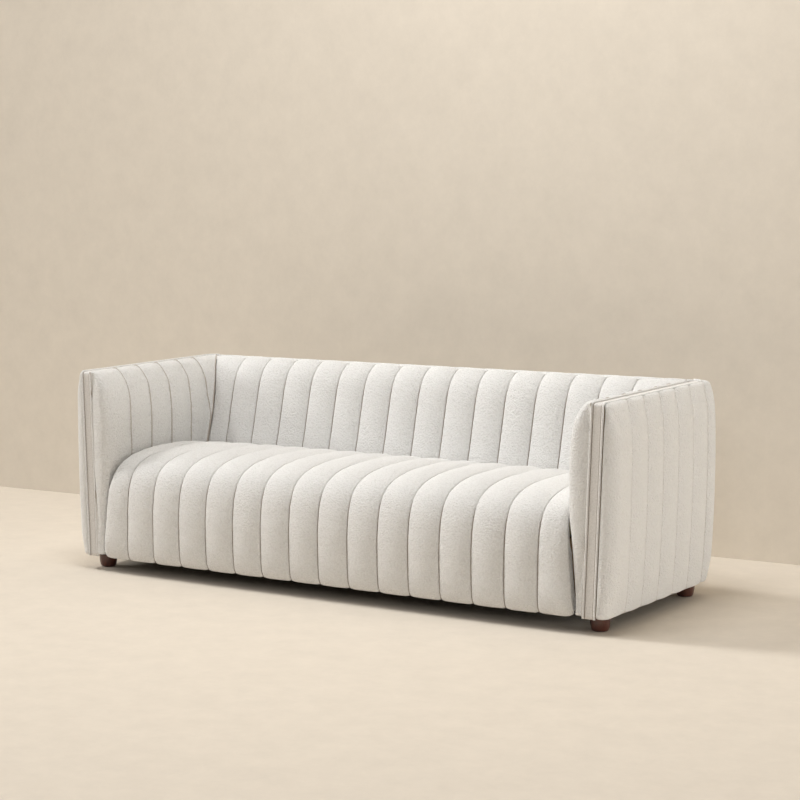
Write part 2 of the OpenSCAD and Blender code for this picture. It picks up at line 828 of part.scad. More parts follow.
module arm_outer_board(side) {
    color("tan")
        sided(side)
            arm_slab(base_z, arm_rail_top_z, post_front_y, rear_post_y, post_t / 2, frame_half);
}

// Inner arm cover: the part beside the seat starts at the deck, the front runs down to the base
deck_share = arm_share(deck_z + seat_gap);
low_wrap_columns = 2;
inner_rows = len(inner_shares);
function inner_height(i, low) =
    let (s = inner_shares[i][0])
    pad_low_z + (low ? s : deck_share + s * (1 - deck_share)) * (arm_h - pad_low_z)
    - (low ? hang(s) : 0);
function inner_pad(i, z) = i == inner_rows - 1 ? 0 : inner_pad_t * lookup(arm_share(z), inner_pairs);
function inner_line(low) = [
    for (i = [0:inner_rows - 1])
        let (z = inner_height(i, low))
        [-(face_in(z) - inner_pad(i, z)), z]
];
high_line = inner_line(false);
low_line = inner_line(true);
// Rear corner of the inner arm cover, for a row of its outline
function arm_corner_y(i) =
    let (z = high_line[i][1], y = back_y(z))
    (i == inner_rows - 1 ? back_band_y : back_y(risen(z, y))) - corner_gap;
function inner_height_in(i, low) =
    let (start = low ? 0 : deck_share, share = lining_share(inner_shares, i))
    pad_low_z + start * (arm_h - pad_low_z)
    + share * ((1 - start) * (arm_h - pad_low_z) - edge_t) + (low ? lip(i) : 0);

module arm_inner_cover(side) {
    outer = [
        for (i = [0:inner_rows - 1])
            let (
                corner_y = arm_corner_y(i),
                seams = concat(inner_seams, [corner_y]),
                first = [
                    for (j = [0:len(wrap_shares) - 1])
                        let (
                            line = j < low_wrap_columns ? low_line : high_line,
                            z = line[i][1],
                            plan = wrap_point(
                                [face_in(z), band_y], -line[i][0], inner_seams[0], front_r, -1, wrap_shares[j]
                            ),
                            normal = outline_normal(line, i),
                            p = lifted(plan, z, normal, crown * inner_shares[i][2] * plan[4])
                        )
                        [p[0], p[1], risen(p[2], p[1])]
                ],
                rest = [
                    for (k = [0:inner_arm_bays])
                        for (t = k == inner_arm_bays ? concat(bay_shares, [1]) : bay_shares)
                            let (
                                y = seams[k] + t * (seams[k + 1] - seams[k]),
                                z = high_line[i][1],
                                normal = outline_normal(high_line, i),
                                p = lifted(
                                    [-high_line[i][0], y, -1, 0], z, normal,
                                    crown * inner_shares[i][2] * bump(t, bay_power)
                                )
                            )
                            [p[0], p[1], risen(p[2], p[1])]
                ]
            )
            concat(first, rest)
    ];
    inner = [
        for (i = [0:inner_rows - 1])
            let (
                z_low = inner_height_in(i, true),
                z = inner_height_in(i, false),
                pad = inner_pad(i, high_line[i][1]),
                x = face_in(z) - max(pad - quilt_t, 0),
                mitre = min(quilt_t, pad)
            )
            concat(
                [[face_in(z_low), band_y + edge_t, risen(z_low, band_y)]],
                [for (y = inner_seams) [x, y, risen(z, y)]],
                [[x, arm_corner_y(i) + mitre, risen(z, arm_corner_y(i))]]
            )
    ];
    counts = concat([len(wrap_shares)], [for (k = [0:inner_arm_bays]) len(bay_shares)]);
    color("ivory")
        sided(side)
            quilt(outer, inner, marks(counts), flip = true);
}

// Foam slab between the inner arm cover and its board
foam_first_row = 2;
foam_last_row = 7;
module arm_foam(side) {
    rows = [foam_first_row:foam_last_row];
    face = [
        for (i = rows)
            let (z = inner_height_in(i, false), pad = inner_pad(i, high_line[i][1]))
            [face_in(z) - max(pad - quilt_t, 0) + soft_gap, z]
    ];
    rear = [for (p = reversed(face)) [face_in(p[1]), p[1]]];
    end_y = back_y(face[0][1]);
    color("khaki")
        sided(side)
            translate([0, end_y, 0])
                rotate([90, 0, 0])
                    linear_extrude(end_y - inner_seams[0])
                        polygon(concat(face, rear));
}

module arm_outer_cover(side) {
    rows = len(outer_line);
    outer = [
        for (i = [0:rows - 1])
            let (
                p = outer_line[i],
                z = p[1],
                normal = outline_normal(outer_line, i),
                share = crown * outer_shares[i][2],
                rear_cover_y = frame_rear_y + soft_gap + rear_line[i][0],
                first = [
                    for (t = wrap_shares)
                        wrap_point([face_out(z), band_y], p[0], outer_seams[0], front_r, 1, t)
                ],
                middle = [
                    for (k = [0:outer_arm_bays - 1]) for (t = bay_shares)
                        [p[0], outer_seams[k] + t * arm_pitch, 1, 0, bump(t, bay_power)]
                ],
                last = [
                    for (t = concat(wrap_shares, [1]))
                        let (q = wrap_point(
                            [rear_seam_x, -rear_cover_y], p[0], -last_outer_seam, rear_r, 1, 1 - t
                        ))
                        [q[0], -q[1], q[2], -q[3], bump(t, wrap_power)]
                ]
            )
            [
                for (plan = concat(first, middle, last))
                    let (q = lifted(plan, z, normal, share * plan[4]))
                    [q[0], q[1], risen(q[2], min(q[1], frame_rear_y))]
            ]
    ];
    inner = [
        for (i = [0:rows - 1])
            let (z = outer_height_in(i))
            concat(
                [[face_out(z), band_y + edge_t, risen(z, band_y)]],
                [for (y = outer_seams) [face_out(z), y, risen(z, y)]],
                [[rear_seam_x, frame_rear_y + soft_gap, risen(z, frame_rear_y)]]
            )
    ];
    counts = concat([len(wrap_shares)], [for (k = [1:outer_arm_bays]) len(bay_shares)], [len(wrap_shares)]);
    color("ivory")
        sided(side)
            quilt(outer, inner, marks(counts));
}

// Band on the arm front and top; its top climbs to the rear
band_t = edge_t - 2 * soft_gap;
band_recess = 2;
module arm_band(side) {
    low_z = arm_rail_top_z + soft_gap;
    end_y = frame_rear_y - cord_d - soft_gap;
    x0 = arm_axis(arm_h) - band_half + soft_gap;
    x1 = arm_axis(arm_h) + band_half - soft_gap;
    front = band_y + band_recess;
    color("ivory")
        sided(side) union() {
            arm_slab(
                cover_low_z, arm_h - soft_gap, front, band_y + band_t,
                -band_half + soft_gap, band_half - soft_gap
            );
            difference() {
                translate([0, 0, low_z])
                    linear_extrude(crest_h - low_z)
                        union() {
                            translate([x0, front])
                                square([x1 - x0, end_y - band_w - front]);
                            intersection() {
                                translate([x1 - band_w, end_y - band_w])
                                    circle(r = band_w, $fn = 64);
                                translate([x0, end_y - band_w])
                                    square([x1 - x0, band_w]);
                            }
                        }
                across(x1 + over, [
                    [front - over, arm_h], [end_y + over, risen(arm_h, end_y + over)],
                    [end_y + over, crest_h + over], [front - over, crest_h + over]
                ]);
            }
        }
}

// Piping on both edges of the band
rear_cord_steps = 4;
module arm_piping(side) {
    top_off = soft_gap;
    y = band_y + cord_d / 2;
    end_y = back_band_y - cord_d;
    color("ivory")
        sided(side)
            for (edge = [-1, 1]) {
                off = edge * (band_w / 2 - cord_d / 2 - soft_gap);
                top_z = arm_h - cord_d / 2 + top_off;
                last_y = edge < 0 ? end_y : frame_rear_y - band_w;
                turn = edge < 0 ? [] : [
                    for (i = [1:rear_cord_steps])
                        let (a = 90 * i / rear_cord_steps, r = band_w - cord_d)
                        [arm_axis(arm_h) + off - r * (1 - cos(a)), last_y + r * sin(a),
                            risen(top_z, last_y + r * sin(a))]
                ];
                cord(concat(
                    [
                        [arm_axis(cover_low_z) + off, y, cover_low_z],
                        [arm_axis(top_z) + off, y, top_z - cord_d],
                        [arm_axis(top_z) + off, y + cord_d / 4, top_z - cord_d / 4],
                        [arm_axis(top_z) + off, y + cord_d, top_z],
                        [arm_axis(arm_h) + off, last_y, risen(top_z, last_y)]
                    ],
                    turn
                ), cord_d);
            }
}

dust_t = 1.2;
module dust_cover() {
    half = arm_axis(base_z) + frame_half;
    front = soft_gap - seat_inner_line[0][0];
    color("dimgray")
        difference() {
            translate([0, 0, base_z - dust_t])
                linear_extrude(dust_t)
                    polygon([
                        [-half, front], [half, front], [half, rear_post_y], [upright_out_x, frame_rear_y],
                        [-upright_out_x, frame_rear_y], [-half, rear_post_y]
                    ]);
            for (side = [-1, 1])
                at_feet(side)
                    translate([0, 0, base_z - dust_t - over])
                        cylinder(h = dust_t + 2 * over, d = foot_top_d + 2 * bolt_clear, $fn = 64);
        }
}

// Turned foot with a glide pressed into its tip
glide_h = 2;
glide_d = 24;
glide_pin_d = 5;
glide_pin_h = 12;
foot_steps = 8;
foot_lip_share = 0.12;
bolt_in_foot = 26;
foot_h = base_z - glide_h;
foot_lip = foot_h * foot_lip_share;
foot_line = [
    for (i = [0:foot_steps])
        let (a = 90 * i / foot_steps)
        [foot_tip_d / 2 + (foot_top_d - foot_tip_d) / 2 * sin(a), (foot_h - foot_lip) * (1 - cos(a))]
];

module foot(side, y) {
    color("saddlebrown")
        translate([side * arm_axis(base_z), y, glide_h])
            difference() {
                rotate_extrude($fn = 96)
                    polygon(concat(
                        [[0, 0]], foot_line, [[foot_top_d / 2, foot_h], [0, foot_h]]
                    ));
                translate([0, 0, foot_h - bolt_in_foot])
                    cylinder(h = bolt_in_foot + over, d = foot_bolt_d + 2 * bolt_clear, $fn = 48);
                translate([0, 0, -over])
                    cylinder(h = glide_pin_h + over, d = glide_pin_d + 2 * bolt_clear, $fn = 32);
            }
}

module foot_bolts() {
    color("silver")
        for (side = [-1, 1])
            at_feet(side)
                translate([0, 0, base_z - bolt_in_foot])
                    cylinder(h = bolt_in_foot + sill_h, d = foot_bolt_d, $fn = 48);
}

module tee_nuts() {
    color("gainsboro")
        for (side = [-1, 1])
            at_feet(side)
                difference() {
                    union() {
                        translate([0, 0, base_z + sill_h - tee_barrel_h])
                            cylinder(h = tee_barrel_h, d = tee_barrel_d, $fn = 48);
                        translate([0, 0, base_z + sill_h])
                            cylinder(h = tee_plate_t, d = tee_plate_d, $fn = 48);
                    }
                    translate([0, 0, base_z])
                        cylinder(h = sill_h + tee_plate_t + over, d = foot_bolt_d + bolt_clear, $fn = 48);
                }
}

module foot_glides() {
    color("dimgray")
        for (side = [-1, 1])
            at_feet(side) {
                cylinder(h = glide_h, d = glide_d, $fn = 48);
                translate([0, 0, glide_h])
                    cylinder(h = glide_pin_h - bolt_clear, d = glide_pin_d, $fn = 32);
            }
}

seat_cover();
seat_foam();
seat_springs();
spring_clips();
spring_ties();
deck_cloth();
back_cover();
back_foam();
back_webbing();
back_upright(1);  // back_upright_left
back_upright(-1);  // back_upright_right
back_uprights_middle();
back_top_rail();
back_tie_rail();
back_bottom_rail();
outer_back_board();
outer_back_cover();
back_band();
back_piping();
front_rail();
rear_rail();
end_rail(1);  // end_rail_left
end_rail(-1);  // end_rail_right
cross_rails();
corner_blocks();
arm_sill(1);  // arm_sill_left
arm_sill(-1);  // arm_sill_right
arm_post(1, post_front_y);  // arm_front_post_left
arm_post(-1, post_front_y);  // arm_front_post_right
arm_post(1, rear_post_front_y);  // arm_rear_post_left
arm_post(-1, rear_post_front_y);  // arm_rear_post_right
arm_top_rail(1);  // arm_top_rail_left
arm_top_rail(-1);  // arm_top_rail_right
arm_inner_board(1);  // arm_inner_board_left
arm_inner_board(-1);  // arm_inner_board_right
arm_outer_board(1);  // arm_outer_board_left
arm_outer_board(-1);  // arm_outer_board_right
arm_foam(1);  // arm_foam_left
arm_foam(-1);  // arm_foam_right
arm_inner_cover(1);  // arm_inner_cover_left
arm_inner_cover(-1);  // arm_inner_cover_right
arm_outer_cover(1);  // arm_outer_cover_left
arm_outer_cover(-1);  // arm_outer_cover_right
arm_band(1);  // arm_band_left
arm_band(-1);  // arm_band_right
arm_piping(1);  // arm_piping_left
arm_piping(-1);  // arm_piping_right
dust_cover();
foot(1, foot_front_y);  // foot_front_left
foot(-1, foot_front_y);  // foot_front_right
foot(1, foot_rear_y);  // foot_rear_left
foot(-1, foot_rear_y);  // foot_rear_right
foot_bolts();
tee_nuts();
foot_glides();
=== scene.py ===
"""Looks of the channelled tuxedo sofa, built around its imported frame.

Every piece stands in the row frame, in metres: +X is the sofa's left end as the sitter has it,
-Y the front and +Z up. The covers follow the frame's own planes, so a piece lies where its node is.
"""

import logging
import math
from dataclasses import dataclass, field, replace
from enum import Enum

import bmesh
import bpy
import numpy as np
from mathutils import Matrix, Vector

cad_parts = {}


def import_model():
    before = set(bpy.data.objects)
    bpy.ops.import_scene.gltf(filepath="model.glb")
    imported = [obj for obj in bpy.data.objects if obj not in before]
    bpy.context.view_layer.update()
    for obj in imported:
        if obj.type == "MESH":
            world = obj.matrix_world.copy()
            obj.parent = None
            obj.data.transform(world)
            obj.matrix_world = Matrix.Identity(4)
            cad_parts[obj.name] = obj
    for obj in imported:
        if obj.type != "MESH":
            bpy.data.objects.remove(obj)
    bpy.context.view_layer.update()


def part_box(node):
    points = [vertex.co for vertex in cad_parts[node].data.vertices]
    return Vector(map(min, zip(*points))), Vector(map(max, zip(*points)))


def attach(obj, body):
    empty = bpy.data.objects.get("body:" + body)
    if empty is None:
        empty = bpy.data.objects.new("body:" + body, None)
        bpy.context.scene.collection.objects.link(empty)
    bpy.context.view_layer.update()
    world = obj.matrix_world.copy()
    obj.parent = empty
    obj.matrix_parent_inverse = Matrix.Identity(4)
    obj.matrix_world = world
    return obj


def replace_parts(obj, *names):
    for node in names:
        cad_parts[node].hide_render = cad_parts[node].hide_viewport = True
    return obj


log = logging.getLogger("sofa")

# Steps per point of an outline from which its even rows are read
FINE_STEPS = 40
# Height shares over which the arm covers' seams sink and come up again, and from which tops close
DIP_START_SHARES = (0.86, 0.95)
DIP_END_SHARES = (0.97, 1.0)
TOP_CLOSE_SHARE = 0.93
# Section of the flat bands and sides of the round welts
STRIP_COLUMNS = 9
STRIP_CROWN = 0.0012
STRIP_EDGE_SHARE = 0.2
STRIP_UNDER_SHARE = 0.98
WELT_SIDES = 12
# Distances from a seam within which its painted shade is full and at which it ends
SEAM_FULL_SHADE_W = 0.0003
SEAM_SHADE_W = 0.002
# Limits for copying and rounding the frame's blocks
WELD = 1e-5
FLAT_DEG = 1.0
SHARP_DEG = 25.0
SMOOTH_DEG = 35.0


class Side(Enum):
    """End of the sofa that a piece belongs to, as the sitter has it."""

    LEFT = 1
    RIGHT = -1

    @property
    def word(self) -> str:
        """Word that ends the names of this side's pieces."""
        return self.name.lower()


class Face(Enum):
    """Face of the sofa that a cover lies on, with how tightly its channels are stuffed."""

    INNER = 0.8
    OUTER = 0.75


def smooth_through(xs: np.ndarray, ys: np.ndarray, at: np.ndarray) -> np.ndarray:
    """Reads a smooth curve that never swings past its points.

    Args:
        xs: Rising places of the points.
        ys: Values at the points.
        at: Places to read.

    Returns:
        The curve's values at those places.
    """
    step = np.diff(xs)
    slope = np.diff(ys) / step
    before, after = slope[:-1], slope[1:]
    same_way = before * after > 0
    weight_a, weight_b = 2 * step[1:] + step[:-1], step[1:] + 2 * step[:-1]
    safe_before = np.where(same_way, before, 1.0)
    safe_after = np.where(same_way, after, 1.0)
    inner = (weight_a + weight_b) / (weight_a / safe_before + weight_b / safe_after)
    tangent = np.concatenate([[slope[0]], np.where(same_way, inner, 0.0), [slope[-1]]])
    k = np.clip(np.searchsorted(xs, at, side="right") - 1, 0, len(step) - 1)
    h = step[k]
    t = (at - xs[k]) / h
    return (
        ys[k] * (1 + 2 * t) * (1 - t) ** 2
        + tangent[k] * h * t * (1 - t) ** 2
        + ys[k + 1] * t**2 * (3 - 2 * t)
        + tangent[k + 1] * h * t**2 * (t - 1)
    )


def run_lengths(points: np.ndarray, axis: int) -> np.ndarray:
    """Adds up the distances between neighbouring points along an axis of their grid."""
    step = np.linalg.norm(np.diff(points, axis=axis), axis=-1)
    start = np.zeros_like(step.take([0], axis=axis))
    return np.concatenate([start, np.cumsum(step, axis=axis)], axis=axis)


def smooth_rows(points: np.ndarray, count: int) -> np.ndarray:
    """Spaces rows evenly along a smooth outline.

    Args:
        points: Outline points; the first two columns are lengths and set the spacing.
        count: Number of rows.

    Returns:
        The rows, with as many columns as the points.
    """
    run = run_lengths(points[:, :2], 0)
    fine = np.linspace(0.0, run[-1], FINE_STEPS * len(points))
    curve = [smooth_through(run, column, fine) for column in points.T]
    length = run_lengths(np.stack(curve[:2], axis=1), 0)
    at = np.linspace(0.0, length[-1], count)
    return np.stack([np.interp(at, length, column) for column in curve], axis=1)


def top_dip(shares: np.ndarray, depth: float) -> np.ndarray:
    """How far seams sink where the covers roll over the frame.

    Args:
        shares: Height shares of the rows.
        depth: Greatest sinking.

    Returns:
        The sinking of each row.
    """
    return depth * ease(shares, *DIP_START_SHARES) * (1 - ease(shares, *DIP_END_SHARES))


def top_blend(rows: int) -> np.ndarray:
    """How far each row of an inner cover has closed on the frame, from 0 to 1 in the last row."""
    return ease(np.arange(rows) / (rows - 1), TOP_CLOSE_SHARE, 1.0)


def outline_normals(away: np.ndarray, height: np.ndarray) -> tuple[np.ndarray, np.ndarray]:
    """Finds the unit normals of outlines that run along the first axis.

    Args:
        away: Outward distances.
        height: Heights, in the same layout.

    Returns:
        The normals' outward and upward parts.
    """
    run_away, run_up = np.gradient(away, axis=0), np.gradient(height, axis=0)
    size = np.maximum(np.hypot(run_away, run_up), 1e-9)
    return run_up / size, -run_away / size


def channel_bump(t: np.ndarray, power: float, roundness: float = 0.86) -> np.ndarray:
    """Shapes a channel between two seams.

    Args:
        t: Share of the way across the channel.
        power: How flat the middle is.
        roundness: How steeply the flanks leave the seams.

    Returns:
        The share of the crown at each place.
    """
    return np.power(np.clip(1 - np.abs(2 * t - 1) ** power, 0, 1), roundness)


def ease(value: np.ndarray, start: float, end: float) -> np.ndarray:
    """Runs smoothly from 0 at the start to 1 at the end."""
    t = np.clip((value - start) / (end - start), 0, 1)
    return t * t * (3 - 2 * t)


@dataclass(frozen=True)
class SofaShape:
    """Planes and surfaces of the sofa that its covers share, in metres."""

    base_z: float
    deck_z: float
    band_y: float
    frame_rear_y: float
    crest_z: float
    arm_h: float
    arm_rise: float = 0.013
    channel_pitch: float = 0.122
    seat_channels: int = 16
    rear_channels: int = 17
    inner_bays: int = 4
    outer_bays: int = 5
    crown: float = 0.012
    quilt_t: float = 0.030
    seat_h: float = 0.452
    seat_low_z: float = 0.049
    seat_end_sink: float = 0.017
    seat_gap: float = 0.002
    back_foot_z: float = 0.421
    back_rake: float = 0.083
    back_pad_t: float = 0.078
    outer_pad_t: float = 0.037
    band_w: float = 0.048
    arm_lean: float = 0.024
    arm_axis_off: float = 0.0555
    inner_pad_t: float = 0.073
    arm_setback: float = 0.031
    inner_first: float = 0.134
    outer_first: float = 0.155
    outer_last: float = 0.036
    welt_d: float = 0.008
    frame_half: float = 0.024
    soft_gap: float = 0.0004
    low_gap: float = 0.0006
    corner_gap: float = 0.0011
    edge_t: float = 0.014
    front_r: float = 0.030
    rear_r: float = 0.070
    rear_seam_in: float = 0.032
    webbing_t: float = 0.0016
    front_hang: float = 0.011
    rear_hang: float = 0.014
    hang_reach: float = 0.09
    lip_in: float = 0.012

    @classmethod
    def from_frame(cls) -> "SofaShape":
        """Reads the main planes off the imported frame's timber."""
        edge_t, soft_gap = cls.edge_t, cls.soft_gap
        return cls(
            base_z=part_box("arm_sill_left")[0].z,
            deck_z=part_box("front_rail")[1].z,
            band_y=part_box("arm_front_post_left")[0].y - edge_t,
            frame_rear_y=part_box("outer_back_board")[1].y,
            crest_z=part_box("back_top_rail")[1].z + edge_t + soft_gap,
            arm_h=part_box("arm_top_rail_left")[1].z + edge_t + soft_gap,
        )

    @property
    def seat_half(self) -> float:
        """Half the width of the seat's channels together."""
        return self.seat_channels * self.channel_pitch / 2

    @property
    def seat_front_y(self) -> float:
        """Front of the seat at its seams."""
        return self.band_y - self.arm_setback + self.crown

    @property
    def back_band_y(self) -> float:
        """Front edge of the band on top of the back."""
        return self.frame_rear_y - self.band_w

    @property
    def pad_low_z(self) -> float:
        """Lower edge of the arm covers."""
        return self.base_z + self.low_gap

    @property
    def arm_span(self) -> float:
        """Height of the arm covers."""
        return self.arm_h - self.pad_low_z

    @property
    def back_low_z(self) -> float:
        """Lower edge of the back cover."""
        return self.deck_z + self.seat_gap + self.quilt_t / 2

    @property
    def arm_pitch(self) -> float:
        """Width of an arm channel."""
        span = self.frame_rear_y - self.outer_last - self.band_y - self.outer_first
        return span / self.outer_bays

    @property
    def seat_seams(self) -> list[float]:
        """Places across the sofa of the seat's and the back's seams."""
        return [k * self.channel_pitch - self.seat_half for k in range(self.seat_channels + 1)]

    @property
    def inner_seams(self) -> list[float]:
        """Depths of the inner arm seams."""
        first = self.band_y + self.inner_first
        return [first + k * self.arm_pitch for k in range(self.inner_bays + 1)]

    @property
    def outer_seams(self) -> list[float]:
        """Depths of the outer arm seams."""
        first = self.band_y + self.outer_first
        return [first + k * self.arm_pitch for k in range(self.outer_bays + 1)]

    @property
    def rear_seam_x(self) -> float:
        """Place across the sofa of the seam at a rear corner."""
        return float(self.arm_axis(self.crest_z)) - self.rear_seam_in

    def arm_axis(self, z: np.ndarray | float) -> np.ndarray | float:
        """Centre of the leaning arm frame at a height."""
        lean = self.arm_lean * (z - self.base_z) / (self.arm_h - self.base_z)
        return self.seat_half + self.arm_axis_off + lean

    def face_in(self, z: np.ndarray | float) -> np.ndarray | float:
        """Inner limit of the arm frame at a height."""
        return self.arm_axis(z) - self.frame_half - self.soft_gap

    def face_out(self, z: np.ndarray | float) -> np.ndarray | float:
        """Outer limit of the arm frame at a height."""
        return self.arm_axis(z) + self.frame_half + self.soft_gap

    def back_front(self, z: np.ndarray | float) -> np.ndarray | float:
        """Front of the back frame at a height."""
        rise = (self.crest_z - np.maximum(z, self.back_foot_z)) / (self.crest_z - self.back_foot_z)
        return self.back_band_y - self.back_rake * rise

    def hang(self, z: np.ndarray | float, y: np.ndarray | float) -> np.ndarray | float:
        """How far the outer cloth's lower lip hangs at a height and depth."""
        share = np.clip((y - self.band_y) / (self.frame_rear_y - self.band_y), 0, 1)
        low = 1 - ease(np.asarray(z, float), self.pad_low_z, self.pad_low_z + self.hang_reach)
        return (self.front_hang + (self.rear_hang - self.front_hang) * share) * low

    def rise_scale(self, y: np.ndarray | float) -> np.ndarray | float:
        """How much taller the arm is at a depth than at its front."""
        share = (y - self.band_y) / (self.frame_rear_y - self.band_y)
        return 1 + self.arm_rise / self.arm_span * share

    def risen(self, z: np.ndarray | float, y: np.ndarray | float) -> np.ndarray | float:
        """Height on the arm once its rise to the rear is added."""
        return self.pad_low_z + (z - self.pad_low_z) * self.rise_scale(y)

    def lowered(self, z: np.ndarray | float, y: np.ndarray | float) -> np.ndarray | float:
        """Height before the arm's rise to the rear is added."""
        return self.pad_low_z + (z - self.pad_low_z) / self.rise_scale(y)

    def arm_share(self, z: np.ndarray | float) -> np.ndarray | float:
        """Share of the arm's height."""
        return (z - self.pad_low_z) / self.arm_span


# Outlines from bottom to top: share of the height, of the padding and of the channels' crown
INNER_SHARES = np.array([
    (0, 0.315, 0.5), (0.2, 0.49, 0.8), (0.37, 0.66, 1), (0.49, 0.87, 1), (0.63, 0.96, 1),
    (0.75, 1, 1), (0.88, 0.89, 1), (0.955, 0.64, 0.9), (0.987, 0.38, 0.8), (0.996, 0.16, 0.6),
    (1, 0, 0),
])
OUTER_SHARES = np.array([
    (0, 0.76, 0.15), (0.13, 0.95, 1), (0.35, 1, 1), (0.55, 0.95, 1), (0.75, 0.82, 1),
    (0.89, 0.62, 1), (0.96, 0.38, 0.9), (0.995, 0.13, 0.6), (1, 0, 0),
])
BACK_SHARES = np.array([
    (0, 0.96, 0.1), (0.25, 0.96, 0.7), (0.43, 0.985, 1), (0.632, 1, 1), (0.835, 0.96, 1),
    (0.925, 0.77, 1), (0.975, 0.5, 1), (1, 0.25, 1), (0.99, -0.02, 0),
])
# The seat's outline from its lower edge to the back: share of the depth, of the height and of the crown
SEAT_SHARES = np.array([
    (0.040, 0, 0.06), (0.015, 0.065, 0.35), (0.004, 0.206, 0.85), (0, 0.422, 1),
    (0.012, 0.633, 1), (0.0257, 0.717, 1), (0.05, 0.797, 1), (0.0788, 0.8486, 1),
    (0.115, 0.891, 1), (0.247, 0.963, 1), (0.423, 0.995, 1), (0.644, 1, 1),
    (0.839, 0.978, 1), (0.95, 0.945, 0.7), (1, 0.9, 0.2),
])
# Shares of the way across a channel at which it has columns
CHANNEL_SHARES = np.array([
    0, 0.02, 0.055, 0.105, 0.17, 0.26, 0.38, 0.5, 0.62, 0.74, 0.83, 0.895, 0.945, 0.98,
])
WRAP_SHARES = np.array([
    0, 0.016, 0.045, 0.085, 0.13, 0.18, 0.24, 0.3, 0.36, 0.42, 0.5, 0.58, 0.67, 0.76, 0.84,
    0.905, 0.955, 0.984,
])


@dataclass
class Quilting:
    """Grid of a channelled cover: rows run along the channels and columns across them."""

    base: np.ndarray
    out: np.ndarray
    lift: np.ndarray
    gap: np.ndarray
    lining: np.ndarray
    stops: list[int]

    def mirrored(self) -> "Quilting":
        """The same cover for the sofa's other end."""
        flip = np.array([-1.0, 1.0, 1.0])
        return replace(self, base=self.base * flip, out=self.out * flip, lining=self.lining * flip)

    def tucked(self, depth: float) -> "Quilting":
        """The same cover with its seams drawn in and its crests where they were."""
        share = np.clip(self.lift / max(float(self.lift.max()), 1e-9), 0, 1)
        rows = self.lift.max(axis=1, keepdims=True) / self.lift.max()
        base = self.base - self.out * (depth * rows)[..., None]
        return replace(self, base=base, lift=self.lift + depth * share)

    def skin(self, fullness: float) -> np.ndarray:
        """Outer points with the channels filled to a share of their crown."""
        return self.base + self.out * (self.lift * fullness)[..., None]


def new_object(name: str, data: object) -> bpy.types.Object:
    """Puts a new object with the given data into the scene."""
    piece = bpy.data.objects.new(name, data)
    bpy.context.scene.collection.objects.link(piece)
    return piece


def turn_outward(mesh: bpy.types.Mesh) -> None:
    """Turns every face of a closed mesh outward."""
    sheet = bmesh.new()
    sheet.from_mesh(mesh)
    bmesh.ops.recalc_face_normals(sheet, faces=sheet.faces)
    sheet.to_mesh(mesh)
    sheet.free()


def add_values(mesh: bpy.types.Mesh, label: str, values: np.ndarray) -> None:
    """Keeps one number for each point of a mesh."""
    attribute = mesh.attributes.new(label, "FLOAT", "POINT")
    attribute.data.foreach_set("value", values.astype(np.float32))


def read_points(values: bpy.types.bpy_prop_collection, label: str, width: int = 3) -> np.ndarray:
    """Reads one property of a collection's items as rows of numbers."""
    found = np.zeros(len(values) * width)
    values.foreach_get(label, found)
    return found.reshape(-1, width)


def seam_gaps(base: np.ndarray, stops: list[int]) -> np.ndarray:
    """Measures how far each column lies from its nearest seam.

    Args:
        base: Rows by columns of points on the sewn surface.
        stops: Columns that are seams.

    Returns:
        The distances, in metres.
    """
    along = run_lengths(base, 1)
    return np.min(np.abs(along[:, :, None] - along[:, None, stops]), axis=2)


